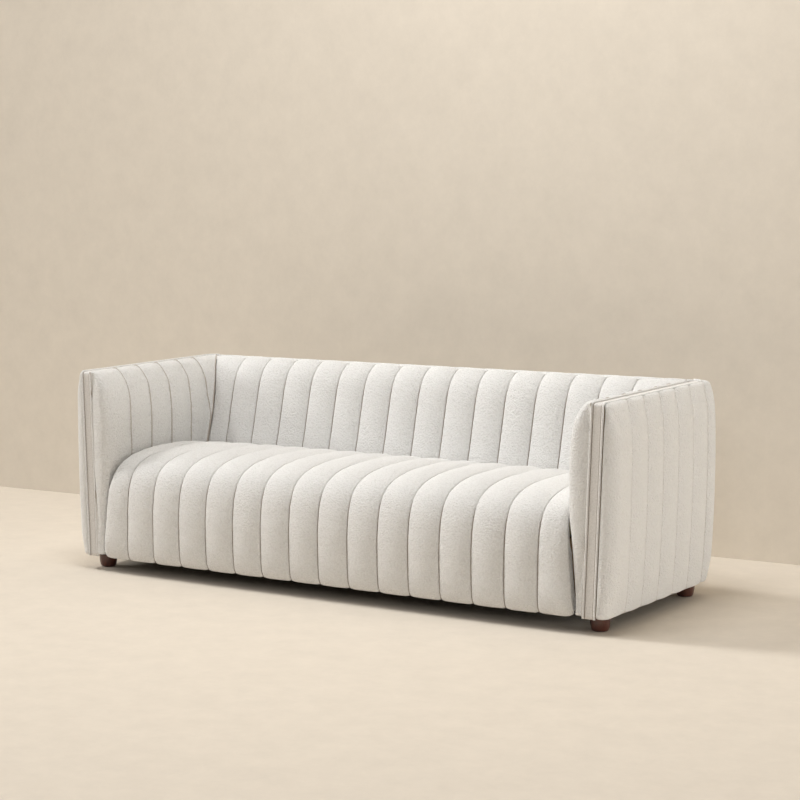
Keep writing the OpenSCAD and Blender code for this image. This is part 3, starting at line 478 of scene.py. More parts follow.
@dataclass
class PadMaker:
    """Turns a quilting grid into a closed, stuffed and sewn piece."""

    pressure: float = 4.0
    frames: int = 20
    quality: int = 4
    stretch_stiffness: float = 12.0
    shear_stiffness: float = 4.0
    bend_stiffness: float = 0.4
    fullness: float = 0.86
    swell_cap: float = 0.006
    groove: float = 0.005
    groove_width: float = 0.0023
    groove_power: float = 1.3
    # Painted light: on faces that look up, the seams' painted shade is thinned, as light falls there from
    # above
    top_light_fade: float = 0.0014
    top_lit_facing: tuple[float, float] = (0.2, 0.75)
    end_crease: float = 0.75
    pucker_height: float = 0.0007
    pucker_reach: float = 0.014
    pucker_waves: tuple[float, ...] = (0.031, 0.047, 0.083)
    pucker_drift: tuple[float, float] = (12.81, 7.77)

    def make(self, name: str, quilting: Quilting) -> bpy.types.Object:
        """Builds, stuffs and sews one pad.

        Args:
            name: Name of the piece.
            quilting: Its grid.

        Returns:
            The finished object.
        """
        piece = self.closed_mesh(name, quilting, self.fullness)
        self.stuff(piece, quilting)
        self.round_off(piece, quilting)
        self.sew(piece)
        return piece

    def closed_mesh(self, name: str, quilting: Quilting, fullness: float) -> bpy.types.Object:
        """Joins the skin, the lining and the four edges into one closed mesh.

        Args:
            name: Name of the piece.
            quilting: Its grid.
            fullness: Share of the crown to start from.

        Returns:
            The new object.
        """
        skin = quilting.skin(fullness)
        rows, cols = skin.shape[:2]
        stops = quilting.stops
        bays = len(stops) - 1
        outer = np.arange(rows * cols).reshape(rows, cols)
        inner = rows * cols + np.arange(rows * (bays + 1)).reshape(rows, bays + 1)
        faces = []
        for i in range(rows - 1):
            for j in range(cols - 1):
                faces.append([outer[i, j], outer[i + 1, j], outer[i + 1, j + 1], outer[i, j + 1]])
            for k in range(bays):
                faces.append([inner[i, k], inner[i, k + 1], inner[i + 1, k + 1], inner[i + 1, k]])
            faces.append([outer[i, 0], inner[i, 0], inner[i + 1, 0], outer[i + 1, 0]])
            faces.append([outer[i, -1], outer[i + 1, -1], inner[i + 1, -1], inner[i, -1]])
        for k in range(bays):
            low = [outer[0, j] for j in range(stops[k], stops[k + 1] + 1)]
            high = [outer[-1, j] for j in range(stops[k], stops[k + 1] + 1)]
            faces.append(low + [inner[0, k + 1], inner[0, k]])
            faces.append(high[::-1] + [inner[-1, k], inner[-1, k + 1]])
        points = np.concatenate([skin.reshape(-1, 3), quilting.lining.reshape(-1, 3)])
        mesh = bpy.data.meshes.new(name)
        mesh.from_pydata(points.tolist(), [], [[int(v) for v in face] for face in faces])
        along = run_lengths(quilting.base, 0)
        add_values(mesh, "seam_gap", np.concatenate([quilting.gap.ravel(), np.ones(inner.size)]))
        add_values(mesh, "seam_run", np.concatenate([along.ravel(), np.zeros(inner.size)]))
        turn_outward(mesh)
        return new_object(name, mesh)

    def stuff(self, piece: bpy.types.Object, quilting: Quilting) -> None:
        """Puffs the channels out between their held seams, as stuffing does.

        Args:
            piece: The closed mesh.
            quilting: Its grid, whose seams, edges and lining stay held.
        """
        rows, cols = quilting.base.shape[:2]
        free = np.ones((rows, cols), bool)
        free[:, quilting.stops] = False
        free[[0, -1], :] = False
        is_free = np.zeros(len(piece.data.vertices), bool)
        is_free[: rows * cols] = free.ravel()
        held = piece.vertex_groups.new(name="held")
        held.add(np.flatnonzero(~is_free).tolist(), 1.0, "REPLACE")
        rest = read_points(piece.data.vertices, "co")
        cloth = piece.modifiers.new("Stuffing", "CLOTH")
        settings = cloth.settings
        settings.quality = self.quality
        settings.vertex_group_mass = held.name
        settings.pin_stiffness = 1.0
        settings.use_pressure = True
        settings.uniform_pressure_force = self.pressure
        settings.effector_weights.gravity = 0.0
        settings.tension_stiffness = settings.compression_stiffness = self.stretch_stiffness
        settings.shear_stiffness = self.shear_stiffness
        settings.bending_stiffness = self.bend_stiffness
        cloth.collision_settings.use_collision = False
        cloth.collision_settings.use_self_collision = False
        cloth.point_cache.frame_start = 1
        cloth.point_cache.frame_end = self.frames
        scene = bpy.context.scene
        for frame in range(1, self.frames + 1):
            scene.frame_set(frame)
        swollen = piece.evaluated_get(bpy.context.evaluated_depsgraph_get())
        move = read_points(swollen.data.vertices, "co") - rest
        size = np.linalg.norm(move, axis=1)
        log.info("%s swells by %.1f mm at most", piece.name, 1000 * size.max())
        move *= (np.minimum(size, self.swell_cap) / np.maximum(size, 1e-9))[:, None]
        move[~is_free] = 0
        piece.modifiers.remove(cloth)
        scene.frame_set(1)
        piece.data.vertices.foreach_set("co", (rest + move).ravel())
        piece.data.update()

    def round_off(self, piece: bpy.types.Object, quilting: Quilting) -> None:
        """Rounds the pad with one subdivision that keeps its seams sharp and its ends nearly so.

        Args:
            piece: The stuffed mesh.
            quilting: Its grid, which says where the seams are.
        """
        rows, cols = quilting.base.shape[:2]
        sheet = bmesh.new()
        sheet.from_mesh(piece.data)
        sheet.verts.ensure_lookup_table()
        crease = sheet.edges.layers.float.new("crease_edge")
        for j in quilting.stops:
            for i in range(rows - 1):
                edge = sheet.edges.get((sheet.verts[i * cols + j], sheet.verts[(i + 1) * cols + j]))
                edge[crease] = self.end_crease if j in (0, cols - 1) else 1.0
        sheet.to_mesh(piece.data)
        sheet.free()
        rounding = piece.modifiers.new("Rounding", "SUBSURF")
        rounding.levels = 1
        rounding.render_levels = 1
        activate(piece)
        bpy.ops.object.modifier_apply(modifier=rounding.name)
        piece.data.polygons.foreach_set("use_smooth", [True] * len(piece.data.polygons))

    def sew(self, piece: bpy.types.Object) -> None:
        """Pulls the seams in, puckers the cloth beside them and thins the painted seam shade on faces lit
        from above.

        Args:
            piece: The rounded mesh, with its distances from the seams.
        """
        mesh = piece.data
        co, normal = read_points(mesh.vertices, "co"), read_points(mesh.vertex_normals, "vector")
        gaps = mesh.attributes["seam_gap"].data
        gap = read_points(gaps, "value", 1)[:, 0]
        run = read_points(mesh.attributes["seam_run"].data, "value", 1)[:, 0]
        pull = self.groove * np.clip(1 - gap / self.groove_width, 0, 1) ** self.groove_power
        drift = co[:, :2] @ np.array(self.pucker_drift)
        ripple = np.mean([
            np.sin(2 * math.pi * run / wave + (2 + k) * drift)
            for k, wave in enumerate(self.pucker_waves)
        ], axis=0)
        near = (gap / self.pucker_reach) * np.exp(1 - gap / self.pucker_reach)
        pucker = self.pucker_height * ripple * np.clip(near, 0, 1)
        co += normal * (pucker - pull)[:, None]
        # Painted light: faces that look up read as farther from the seam, so their painted seam shade is
        # lighter
        gap += self.top_light_fade * ease(normal[:, 2], *self.top_lit_facing)
        gaps.foreach_set("value", gap.astype(np.float32))
        mesh.vertices.foreach_set("co", co.ravel())
        mesh.update()


def activate(piece: bpy.types.Object) -> None:
    """Deselects everything else and makes one object the active one."""
    for other in bpy.context.selected_objects:
        other.select_set(False)
    piece.select_set(True)
    bpy.context.view_layer.objects.active = piece


def channel_columns(seams: list[float]) -> tuple[np.ndarray, np.ndarray, list[int]]:
    """Spreads columns over channels between seams.

    Args:
        seams: Places of the seams, in order.

    Returns:
        The columns' places, their shares within the channel and the columns that are seams.
    """
    places, within = [], []
    for start, end in zip(seams, seams[1:]):
        places += [start + t * (end - start) for t in CHANNEL_SHARES]
        within += list(CHANNEL_SHARES)
    places.append(seams[-1])
    within.append(1.0)
    stops = [k * len(CHANNEL_SHARES) for k in range(len(seams))]
    return np.array(places), np.array(within), stops


def reach_ends(x: np.ndarray, t: np.ndarray, seams: list[float], end_x: np.ndarray) -> np.ndarray:
    """Widens or narrows the end channels so that each row reaches its own end.

    Args:
        x: The columns' even places.
        t: Their shares within the channel.
        seams: Places of the seams.
        end_x: How far each row reaches to both sides.

    Returns:
        Rows by columns of places.
    """
    first, last, end = seams[1], seams[-2], end_x[:, None]
    across = np.where(x < first, -end + t * (first + end), x[None, :])
    across = np.where(x > last, last + t * (end - last), across)
    across[:, -1] = end_x
    return across


@dataclass
class Wrap:
    """Plan path of a channel that turns an upright corner: along the front, round it, along the side."""

    radius: float | np.ndarray
    side: int

    def walk(
        self, start_x: np.ndarray, start_y: np.ndarray, side_x: np.ndarray, end_y: float, t: np.ndarray
    ) -> tuple[np.ndarray, ...]:
        """Finds plan points and normals along the wrap.

        Args:
            start_x: Where the wrap starts across the sofa.
            start_y: Depth of its front.
            side_x: Place of its side.
            end_y: Depth at which it ends.
            t: Share of the way along it.

        Returns:
            Plan x and y, and the plan normal's x and y.
        """
        width = (side_x - start_x) * self.side
        r = np.maximum(np.minimum(np.minimum(self.radius, width), (end_y - start_y) / 2), 0)
        front, arc = width - r, r * math.pi / 2
        s = t * (front + arc + end_y - start_y - r)
        turn = np.where(r > 0, np.clip((s - front) / np.maximum(r, 1e-9), 0, math.pi / 2), math.pi / 2)
        on_front, on_side = s < front, s >= front + arc
        x = np.where(on_front, start_x + self.side * s, start_x + self.side * (front + r * np.sin(turn)))
        y = np.where(on_front, start_y, start_y + r * (1 - np.cos(turn)))
        x = np.where(on_side, side_x, x)
        y = np.where(on_side, start_y + r + s - front - arc, y)
        nx = np.where(on_front, 0.0, np.where(on_side, 1.0, np.sin(turn))) * self.side
        ny = np.where(on_front, -1.0, np.where(on_side, 0.0, -np.cos(turn)))
        return x, y, nx, ny


def raised(
    plan: tuple[np.ndarray, ...], z: np.ndarray, away: np.ndarray, up: np.ndarray
) -> tuple[np.ndarray, np.ndarray]:
    """Puts plan points at their heights, with the direction in which a channel stands up.

    Args:
        plan: Plan x, y and normal x, y.
        z: Heights.
        away: Outward part of the outline's normal.
        up: Upward part of it.

    Returns:
        Points and unit directions.
    """
    x, y, nx, ny = np.broadcast_arrays(*plan)
    base = np.stack([x, y, np.broadcast_to(z, x.shape)], axis=-1)
    out = np.stack([nx * away, ny * away, np.broadcast_to(up, x.shape)], axis=-1)
    return base, out


@dataclass
class SeatCover:
    """Bench cover whose channels run from the back over the nose to the lower edge."""

    shape: SofaShape
    rows: int = 74
    end_gap: float = 0.0006
    sink_power: float = 6.0
    sink_from_z: float = 0.23
    bump_power: float = 2.0
    end_power: float = 6.0
    flap_w: float = 0.030
    flap_depth: float = 0.028
    shoulder_r: float = 0.026
    shoulder_depth: float = 0.020

    def quilting(self) -> Quilting:
        """Lays out the cover's grid."""
        s = self.shape
        rear_y = BackCover(s).seam_y(s.back_foot_z) - s.crown - s.seat_gap
        depth = rear_y - s.seat_front_y
        line = smooth_rows(
            np.stack([
                -(s.seat_front_y + SEAT_SHARES[:, 0] * depth),
                s.seat_low_z + SEAT_SHARES[:, 1] * (s.seat_h - s.seat_low_z),
                SEAT_SHARES[:, 2],
            ], axis=1),
            self.rows,
        )
        away, up = outline_normals(line[:, 0], line[:, 1])
        seams = s.seat_seams
        x, t, stops = channel_columns(seams)
        inner = ArmInnerCover(s)
        beside = np.maximum(line[:, 1], s.pad_low_z)
        end_x = inner.crest_x(beside) - self.end_gap
        across = reach_ends(x, t, seams, end_x)
        sink = s.seat_end_sink * (np.abs(across) / s.seat_half) ** self.sink_power
        sink = sink * ease(line[:, 1:2], s.seat_low_z, self.sink_from_z)
        turn = np.clip(1 - (end_x[:, None] - np.abs(across)) / self.shoulder_r, 0, 1)
        sink = sink + np.maximum(self.shoulder_depth - sink, 0) * (1 - np.sqrt(1 - turn**2))
        base, out = raised((across, -line[:, :1], 0.0, -1.0), line[:, 1:2], away[:, None], up[:, None])
        base = base - out * sink[..., None]
        beside_arm = np.abs(x) > s.seat_half - s.channel_pitch / 2
        bump = np.where(beside_arm, channel_bump(t, self.end_power), channel_bump(t, self.bump_power))
        lift = s.crown * line[:, 2:3] * bump[None, :]
        seam_x = np.clip(np.array(seams)[None, :], -end_x[:, None], end_x[:, None])
        seam_x[:, 0], seam_x[:, -1] = -end_x, end_x
        seam_x[:, 1], seam_x[:, -2] = self.flap_w - end_x, end_x - self.flap_w
        depth_in = np.full(seam_x.shape, s.quilt_t)
        below = 1 - ease(line[:, 1], s.deck_z - self.flap_w, s.deck_z)
        depth_in[:, [0, -1]] += (self.flap_depth * below)[:, None]
        lining = np.stack([
            seam_x, -line[:, :1] + away[:, None] * depth_in, line[:, 1:2] - up[:, None] * depth_in,
        ], axis=-1)
        return Quilting(base, out, lift, seam_gaps(base, stops), lining, stops)


@dataclass
class BackCover:
    """Inner back cover, raked and rolled over the top."""

    shape: SofaShape
    rows: int = 44
    end_crown_share: float = 0.6
    bump_power: float = 2.0

    def seam_y(self, z: np.ndarray | float) -> np.ndarray | float:
        """Depth of the cover's seams at a height."""
        s = self.shape
        share = (np.asarray(z) - s.back_low_z) / (s.crest_z - s.back_low_z)
        pad = np.interp(share, BACK_SHARES[:-1, 0], BACK_SHARES[:-1, 1])
        return s.back_front(z) - s.webbing_t - s.back_pad_t * pad

    def quilting(self) -> Quilting:
        """Lays out the cover's grid."""
        s = self.shape
        rise = s.crest_z - s.back_low_z
        z = s.back_low_z + BACK_SHARES[:, 0] * rise
        line = smooth_rows(
            np.stack([
                -(s.back_front(z) - s.webbing_t - BACK_SHARES[:, 1] * s.back_pad_t), z,
                BACK_SHARES[:, 2], BACK_SHARES[:, 1], lining_heights(BACK_SHARES[:, 0]),
            ], axis=1),
            self.rows,
        )
        away, up = outline_normals(line[:, 0], line[:, 1])
        seams = s.seat_seams
        x, t, stops = channel_columns(seams)
        top = top_blend(self.rows)
        low = np.minimum(s.lowered(line[:, 1], -line[:, 0]), s.arm_h)
        end_x = ArmInnerCover(s).crest_x(low) * (1 - top) + s.face_in(s.arm_h) * top - s.corner_gap
        across = reach_ends(x, t, seams, end_x)
        base, out = raised((across, -line[:, :1], 0.0, -1.0), line[:, 1:2], away[:, None], up[:, None])
        narrow = np.where((x < seams[1]) | (x > seams[-2]), self.end_crown_share, 1.0)
        lift = s.crown * line[:, 2:3] * (narrow * channel_bump(t, self.bump_power))[None, :]
        pad = line[:, 3] * s.back_pad_t
        lining_z = s.back_low_z + line[:, 4] * (rise - s.edge_t)
        lining_y = s.back_front(lining_z) - s.webbing_t - np.maximum(pad - s.quilt_t, 0)
        lining_x = np.broadcast_to(np.array(seams), (self.rows, len(seams))).copy()
        lining_x[:, -1] = end_x + np.minimum(s.quilt_t, pad)
        lining_x[:, 0] = -lining_x[:, -1]
        lining = np.stack([
            lining_x, np.broadcast_to(lining_y[:, None], lining_x.shape),
            np.broadcast_to(lining_z[:, None], lining_x.shape),
        ], axis=-1)
        return Quilting(base, out, lift, seam_gaps(base, stops), lining, stops)


def lining_heights(heights: np.ndarray, scale: float = 0.985) -> np.ndarray:
    """Height shares of a lining's rows, which rise to the last one.

    Args:
        heights: Height shares of the outline.
        scale: Share of them that the lining keeps below its last row.

    Returns:
        The lining's height shares.
    """
    shares = heights * scale
    shares[-1] = 1.0
    return shares


def arm_rows(shares: np.ndarray, height: float, padding: float, rows: int) -> np.ndarray:
    """Spaces an arm cover's rows along its outline and adds its lining's heights.

    Args:
        shares: The outline's table.
        height: Height of the cover.
        padding: Its greatest padding.
        rows: Number of rows.

    Returns:
        Rows of height share, padding share, crown share and lining height share.
    """
    scale = np.array([height, padding, 1, 1])
    table = np.concatenate([shares, lining_heights(shares[:, 0])[:, None]], axis=1)
    return smooth_rows(table * scale, rows) / scale


@dataclass
class ArmInnerCover:
    """Inner arm cover, whose first channel turns the arm's front corner down to the base."""

    shape: SofaShape
    rows: int = 54
    bump_power: float = 2.0
    wrap_power: float = 4.0
    dip: float = 0.004
    low_front_r: float = 0.009
    low_until: float = 0.30
    high_from: float = 0.44
    last_pitch_cut: float = 0.014
    last_channel_w: float = 0.006
    seam_fade: float = 0.024

    def pad(self, z: np.ndarray) -> np.ndarray:
        """Padding over the frame at a height."""
        s = self.shape
        fine = smooth_rows(INNER_SHARES[:-1], 200)
        return s.inner_pad_t * np.interp(s.arm_share(z), fine[:, 0], fine[:, 1])

    def crown_share(self, z: np.ndarray) -> np.ndarray:
        """Share of the full crown at a height."""
        return np.interp(self.shape.arm_share(z), INNER_SHARES[:, 0], INNER_SHARES[:, 2])

    def seam_x(self, z: np.ndarray) -> np.ndarray:
        """Place of the cover's seams at a height."""
        return self.shape.face_in(z) - self.pad(z)

    def crest_x(self, z: np.ndarray) -> np.ndarray:
        """Place of the channels' crests at a height."""
        return self.seam_x(z) - self.shape.crown * self.crown_share(z)

    def quilting(self) -> Quilting:
        """Lays out the cover's grid."""
        s = self.shape
        height = s.arm_span
        line = arm_rows(INNER_SHARES, height, s.inner_pad_t, self.rows)
        deck_share = s.arm_share(s.deck_z + s.seat_gap)
        wrap_start = deck_share * ease(WRAP_SHARES, self.low_until, self.high_from)
        low = s.pad_low_z + (deck_share + line[:, 0] * (1 - deck_share)) * height
        corner_y = BackCover(s).seam_y(s.risen(low, s.back_band_y)) - s.corner_gap
        top = top_blend(self.rows)
        corner_y = corner_y * (1 - top) + (s.back_band_y - s.corner_gap) * top
        free_seam = s.inner_seams[-1] - self.last_pitch_cut
        last_seam = np.minimum(free_seam, corner_y - self.last_channel_w)
        shown_from, shown_to = self.last_channel_w, self.last_channel_w + self.seam_fade
        shown = ease(corner_y - free_seam, shown_from, shown_to)[:, None]
        straight = [
            channel_columns(s.inner_seams[:-1] + [float(seam), float(corner)])
            for seam, corner in zip(last_seam, corner_y)
        ]
        t = np.concatenate([WRAP_SHARES, straight[0][1]])
        stops = [0] + [len(WRAP_SHARES) + k for k in straight[0][2]]
        start = np.concatenate([wrap_start, np.full(len(straight[0][1]), deck_share)])
        z = s.pad_low_z + (start[None, :] + line[:, :1] * (1 - start[None, :])) * height
        pad = self.pad(z)
        pad[-1] = 0
        side_x = s.face_in(z) - pad
        away, up = outline_normals(-side_x, z)
        wraps = len(WRAP_SHARES)
        above = ease(z[:, :wraps], s.deck_z, s.seat_h)
        radius = self.low_front_r + (s.front_r - self.low_front_r) * above
        plan = Wrap(radius, -1).walk(
            s.face_in(z[:, :wraps]), np.full((self.rows, 1), s.band_y), side_x[:, :wraps],
            s.inner_seams[0], WRAP_SHARES[None, :],
        )
        side_y = np.stack([columns[0] for columns in straight])
        x = np.concatenate([plan[0], side_x[:, wraps:]], axis=1)
        y = np.concatenate([plan[1], side_y], axis=1)
        nx = np.concatenate([plan[2], np.full(side_y.shape, -1.0)], axis=1)
        ny = np.concatenate([plan[3], np.zeros(side_y.shape)], axis=1)
        base, out = raised((x, y, nx, ny), z, away, up)
        bump = np.tile(np.concatenate([
            channel_bump(WRAP_SHARES, self.wrap_power), channel_bump(straight[0][1], self.bump_power),
        ]), (self.rows, 1))
        crest, into_corner = (stops[-3] + stops[-2]) // 2, (stops[-2] + stops[-1]) // 2
        bump[:, crest:into_corner] = bump[:, crest:into_corner] * shown + 1 - shown
        bump[:, into_corner:] = 1.0
        dip = top_dip(line[:, :1], self.dip)
        base = base - out * dip[..., None]
        lift = (s.crown * line[:, 2:3] + dip) * bump
        base[..., 2] = s.risen(base[..., 2], base[..., 1]) - s.hang(base[..., 2], base[..., 1])
        starts = np.array([0.0] + [deck_share] * (len(stops) - 1))
        lining_z = s.pad_low_z + starts * height + line[:, 3:4] * ((1 - starts) * height - s.edge_t)
        rest = np.maximum(pad[:, stops] - s.quilt_t, 0)
        rest[:, 0] = 0
        depths = np.array([s.band_y + s.edge_t] + s.inner_seams + [0.0])
        lining_y = np.broadcast_to(depths, lining_z.shape).copy()
        lining_y[:, -2] = last_seam
        lining_y[:, -1] = corner_y + np.minimum(s.quilt_t, pad[:, -1])
        lining_up = s.risen(lining_z, lining_y) - s.hang(lining_z, lining_y)
        lining = np.stack([s.face_in(lining_z) - rest, lining_y, lining_up], axis=-1)
        return Quilting(base, out, lift, seam_gaps(base, stops), lining, stops)


@dataclass
class ArmOuterCover:
    """Outer arm cover, whose first and last channels turn the arm's front and rear corners."""

    shape: SofaShape
    rows: int = 54
    dip: float = 0.005
    bump_power: float = 2.0
    wrap_power: float = 4.0

    def line(self) -> np.ndarray:
        """Rows of height share, padding share, crown share and lining height share."""
        return arm_rows(OUTER_SHARES, self.shape.arm_span, self.shape.outer_pad_t, self.rows)

    def quilting(self) -> Quilting:
        """Lays out the cover's grid."""
        s = self.shape
        line = self.line()
        z = (s.pad_low_z + line[:, 0] * s.arm_span)[:, None]
        pad = line[:, 1:2] * s.outer_pad_t
        side_x = s.face_out(z) + pad
        away, up = outline_normals(side_x, z)
        front = Wrap(s.front_r, 1).walk(
            s.face_out(z), np.full(z.shape, s.band_y), side_x, s.outer_seams[0],
            WRAP_SHARES[None, :],
        )
        places, t, stops = channel_columns(s.outer_seams)
        places, t = places[:-1], t[:-1]
        back_shares = np.concatenate([WRAP_SHARES, [1.0]])
        rear_y = s.frame_rear_y + s.soft_gap + pad
        rear = Wrap(s.rear_r, 1).walk(
            np.full(z.shape, s.rear_seam_x), -rear_y, side_x, -s.outer_seams[-1],
            1 - back_shares[None, :],
        )
        ones = np.ones((self.rows, len(places)))
        x = np.concatenate([front[0], side_x * ones, rear[0]], axis=1)
        y = np.concatenate([front[1], places * ones, -rear[1]], axis=1)
        nx = np.concatenate([front[2], ones, rear[2]], axis=1)
        ny = np.concatenate([front[3], 0 * ones, -rear[3]], axis=1)
        base, out = raised((x, y, nx, ny), z, away, up)
        bump = np.concatenate([
            channel_bump(WRAP_SHARES, self.wrap_power), channel_bump(t, self.bump_power),
            channel_bump(back_shares, self.wrap_power),
        ])
        dip = top_dip(line[:, :1], self.dip)
        base = base - out * dip[..., None]
        lift = (s.crown * line[:, 2:3] + dip) * bump[None, :]
        depth = np.minimum(base[..., 1], s.frame_rear_y)
        base[..., 2] = s.risen(base[..., 2], depth) - s.hang(base[..., 2], depth)
        wraps = len(WRAP_SHARES)
        stops = [0] + [wraps + k for k in stops] + [x.shape[1] - 1]
        low = (s.pad_low_z + line[:, 3] * (s.arm_span - s.edge_t))[:, None]
        depths = np.array([s.band_y + s.edge_t] + s.outer_seams + [s.frame_rear_y + s.soft_gap])
        lining_y = np.broadcast_to(depths, (self.rows, len(depths)))
        clear_foot = s.lip_in * (1 - ease(low, s.base_z, s.base_z + 2 * s.lip_in))
        lining_x = np.broadcast_to(s.face_out(low) + clear_foot, lining_y.shape).copy()
        lining_x[:, -1] = s.rear_seam_x
        depth = np.minimum(lining_y, s.frame_rear_y)
        lining = np.stack([lining_x, lining_y, s.risen(low, depth) - s.hang(low, depth)], axis=-1)
        return Quilting(base, out, lift, seam_gaps(base, stops), lining, stops)


@dataclass
class OuterBackCover:
    """Cover of the outer back, between the two rear corner seams."""

    shape: SofaShape
    bump_power: float = 2.0

    def quilting(self) -> Quilting:
        """Lays out the cover's grid."""
        s = self.shape
        line = ArmOuterCover(s).line()
        rows = len(line)
        z = s.pad_low_z + line[:, 0] * s.arm_span
        pad = line[:, 1] * s.outer_pad_t
        away, up = outline_normals(pad, z)
        half = s.rear_seam_x - s.soft_gap
        pitch = 2 * s.rear_seam_x / s.rear_channels
        seams = [-s.rear_seam_x + k * pitch for k in range(s.rear_channels + 1)]
        x, t, stops = channel_columns(seams)
        x = np.broadcast_to(np.clip(x, -half, half), (rows, len(x)))
        y = (s.frame_rear_y + s.soft_gap + pad)[:, None]
        height = s.risen(z, s.frame_rear_y) - s.hang(z, s.frame_rear_y)
        base, out = raised((x, y, 0.0, 1.0), height[:, None], away[:, None], up[:, None])
        lift = s.crown * line[:, 2:3] * channel_bump(t, self.bump_power)[None, :]
        low = s.pad_low_z + line[:, 3] * (s.arm_span - s.edge_t)
        low = s.risen(low, s.frame_rear_y) - s.hang(low, s.frame_rear_y)
        seam_x = np.broadcast_to(np.clip(np.array(seams), -half, half), (rows, len(seams)))
        lining_y = np.full(seam_x.shape, s.frame_rear_y + s.soft_gap)
        lining = np.stack([seam_x, lining_y, np.broadcast_to(low[:, None], seam_x.shape)], axis=-1)
        return Quilting(base, out, lift, seam_gaps(base, stops), lining, stops)


def closed_tube(name: str, rings: np.ndarray) -> bpy.types.Object:
    """Skins rings of points into a closed piece.

    Args:
        name: Name of the piece.
        rings: Rings by points by 3.

    Returns:
        The new object.
    """
    count, sides = rings.shape[:2]
    faces = []
    for i in range(count - 1):
        for k in range(sides):
            here, there = i * sides, (i + 1) * sides
            beside = (k + 1) % sides
            faces.append([here + k, there + k, there + beside, here + beside])
    faces.append(list(range(sides)))
    faces.append([(count - 1) * sides + k for k in range(sides)][::-1])
    mesh = bpy.data.meshes.new(name)
    mesh.from_pydata(rings.reshape(-1, 3).tolist(), [], faces)
    turn_outward(mesh)
    mesh.polygons.foreach_set("use_smooth", [True] * len(mesh.polygons))
    return new_object(name, mesh)


def welt_section(radius: float) -> np.ndarray:
    """Points of a welt's round section, across and away."""
    angle = 2 * math.pi * np.arange(WELT_SIDES) / WELT_SIDES
    return radius * np.stack([np.cos(angle), np.sin(angle)], axis=1)


def strip_section(thickness: float) -> np.ndarray:
    """Section of a sewn strip with rounded edges, as shares of its width and heights.

    Args:
        thickness: How thick the strip is.

    Returns:
        Points as share across, from -1 to 1, and height.
    """
    u = np.linspace(-1, 1, STRIP_COLUMNS)
    face = np.stack([u, STRIP_CROWN * (1 - u**4)], axis=1)
    edge, under = STRIP_EDGE_SHARE * thickness, STRIP_UNDER_SHARE
    side = np.array([(1.0, -edge), (under, -thickness), (-under, -thickness), (-1.0, -edge)])
    return np.concatenate([face, side])


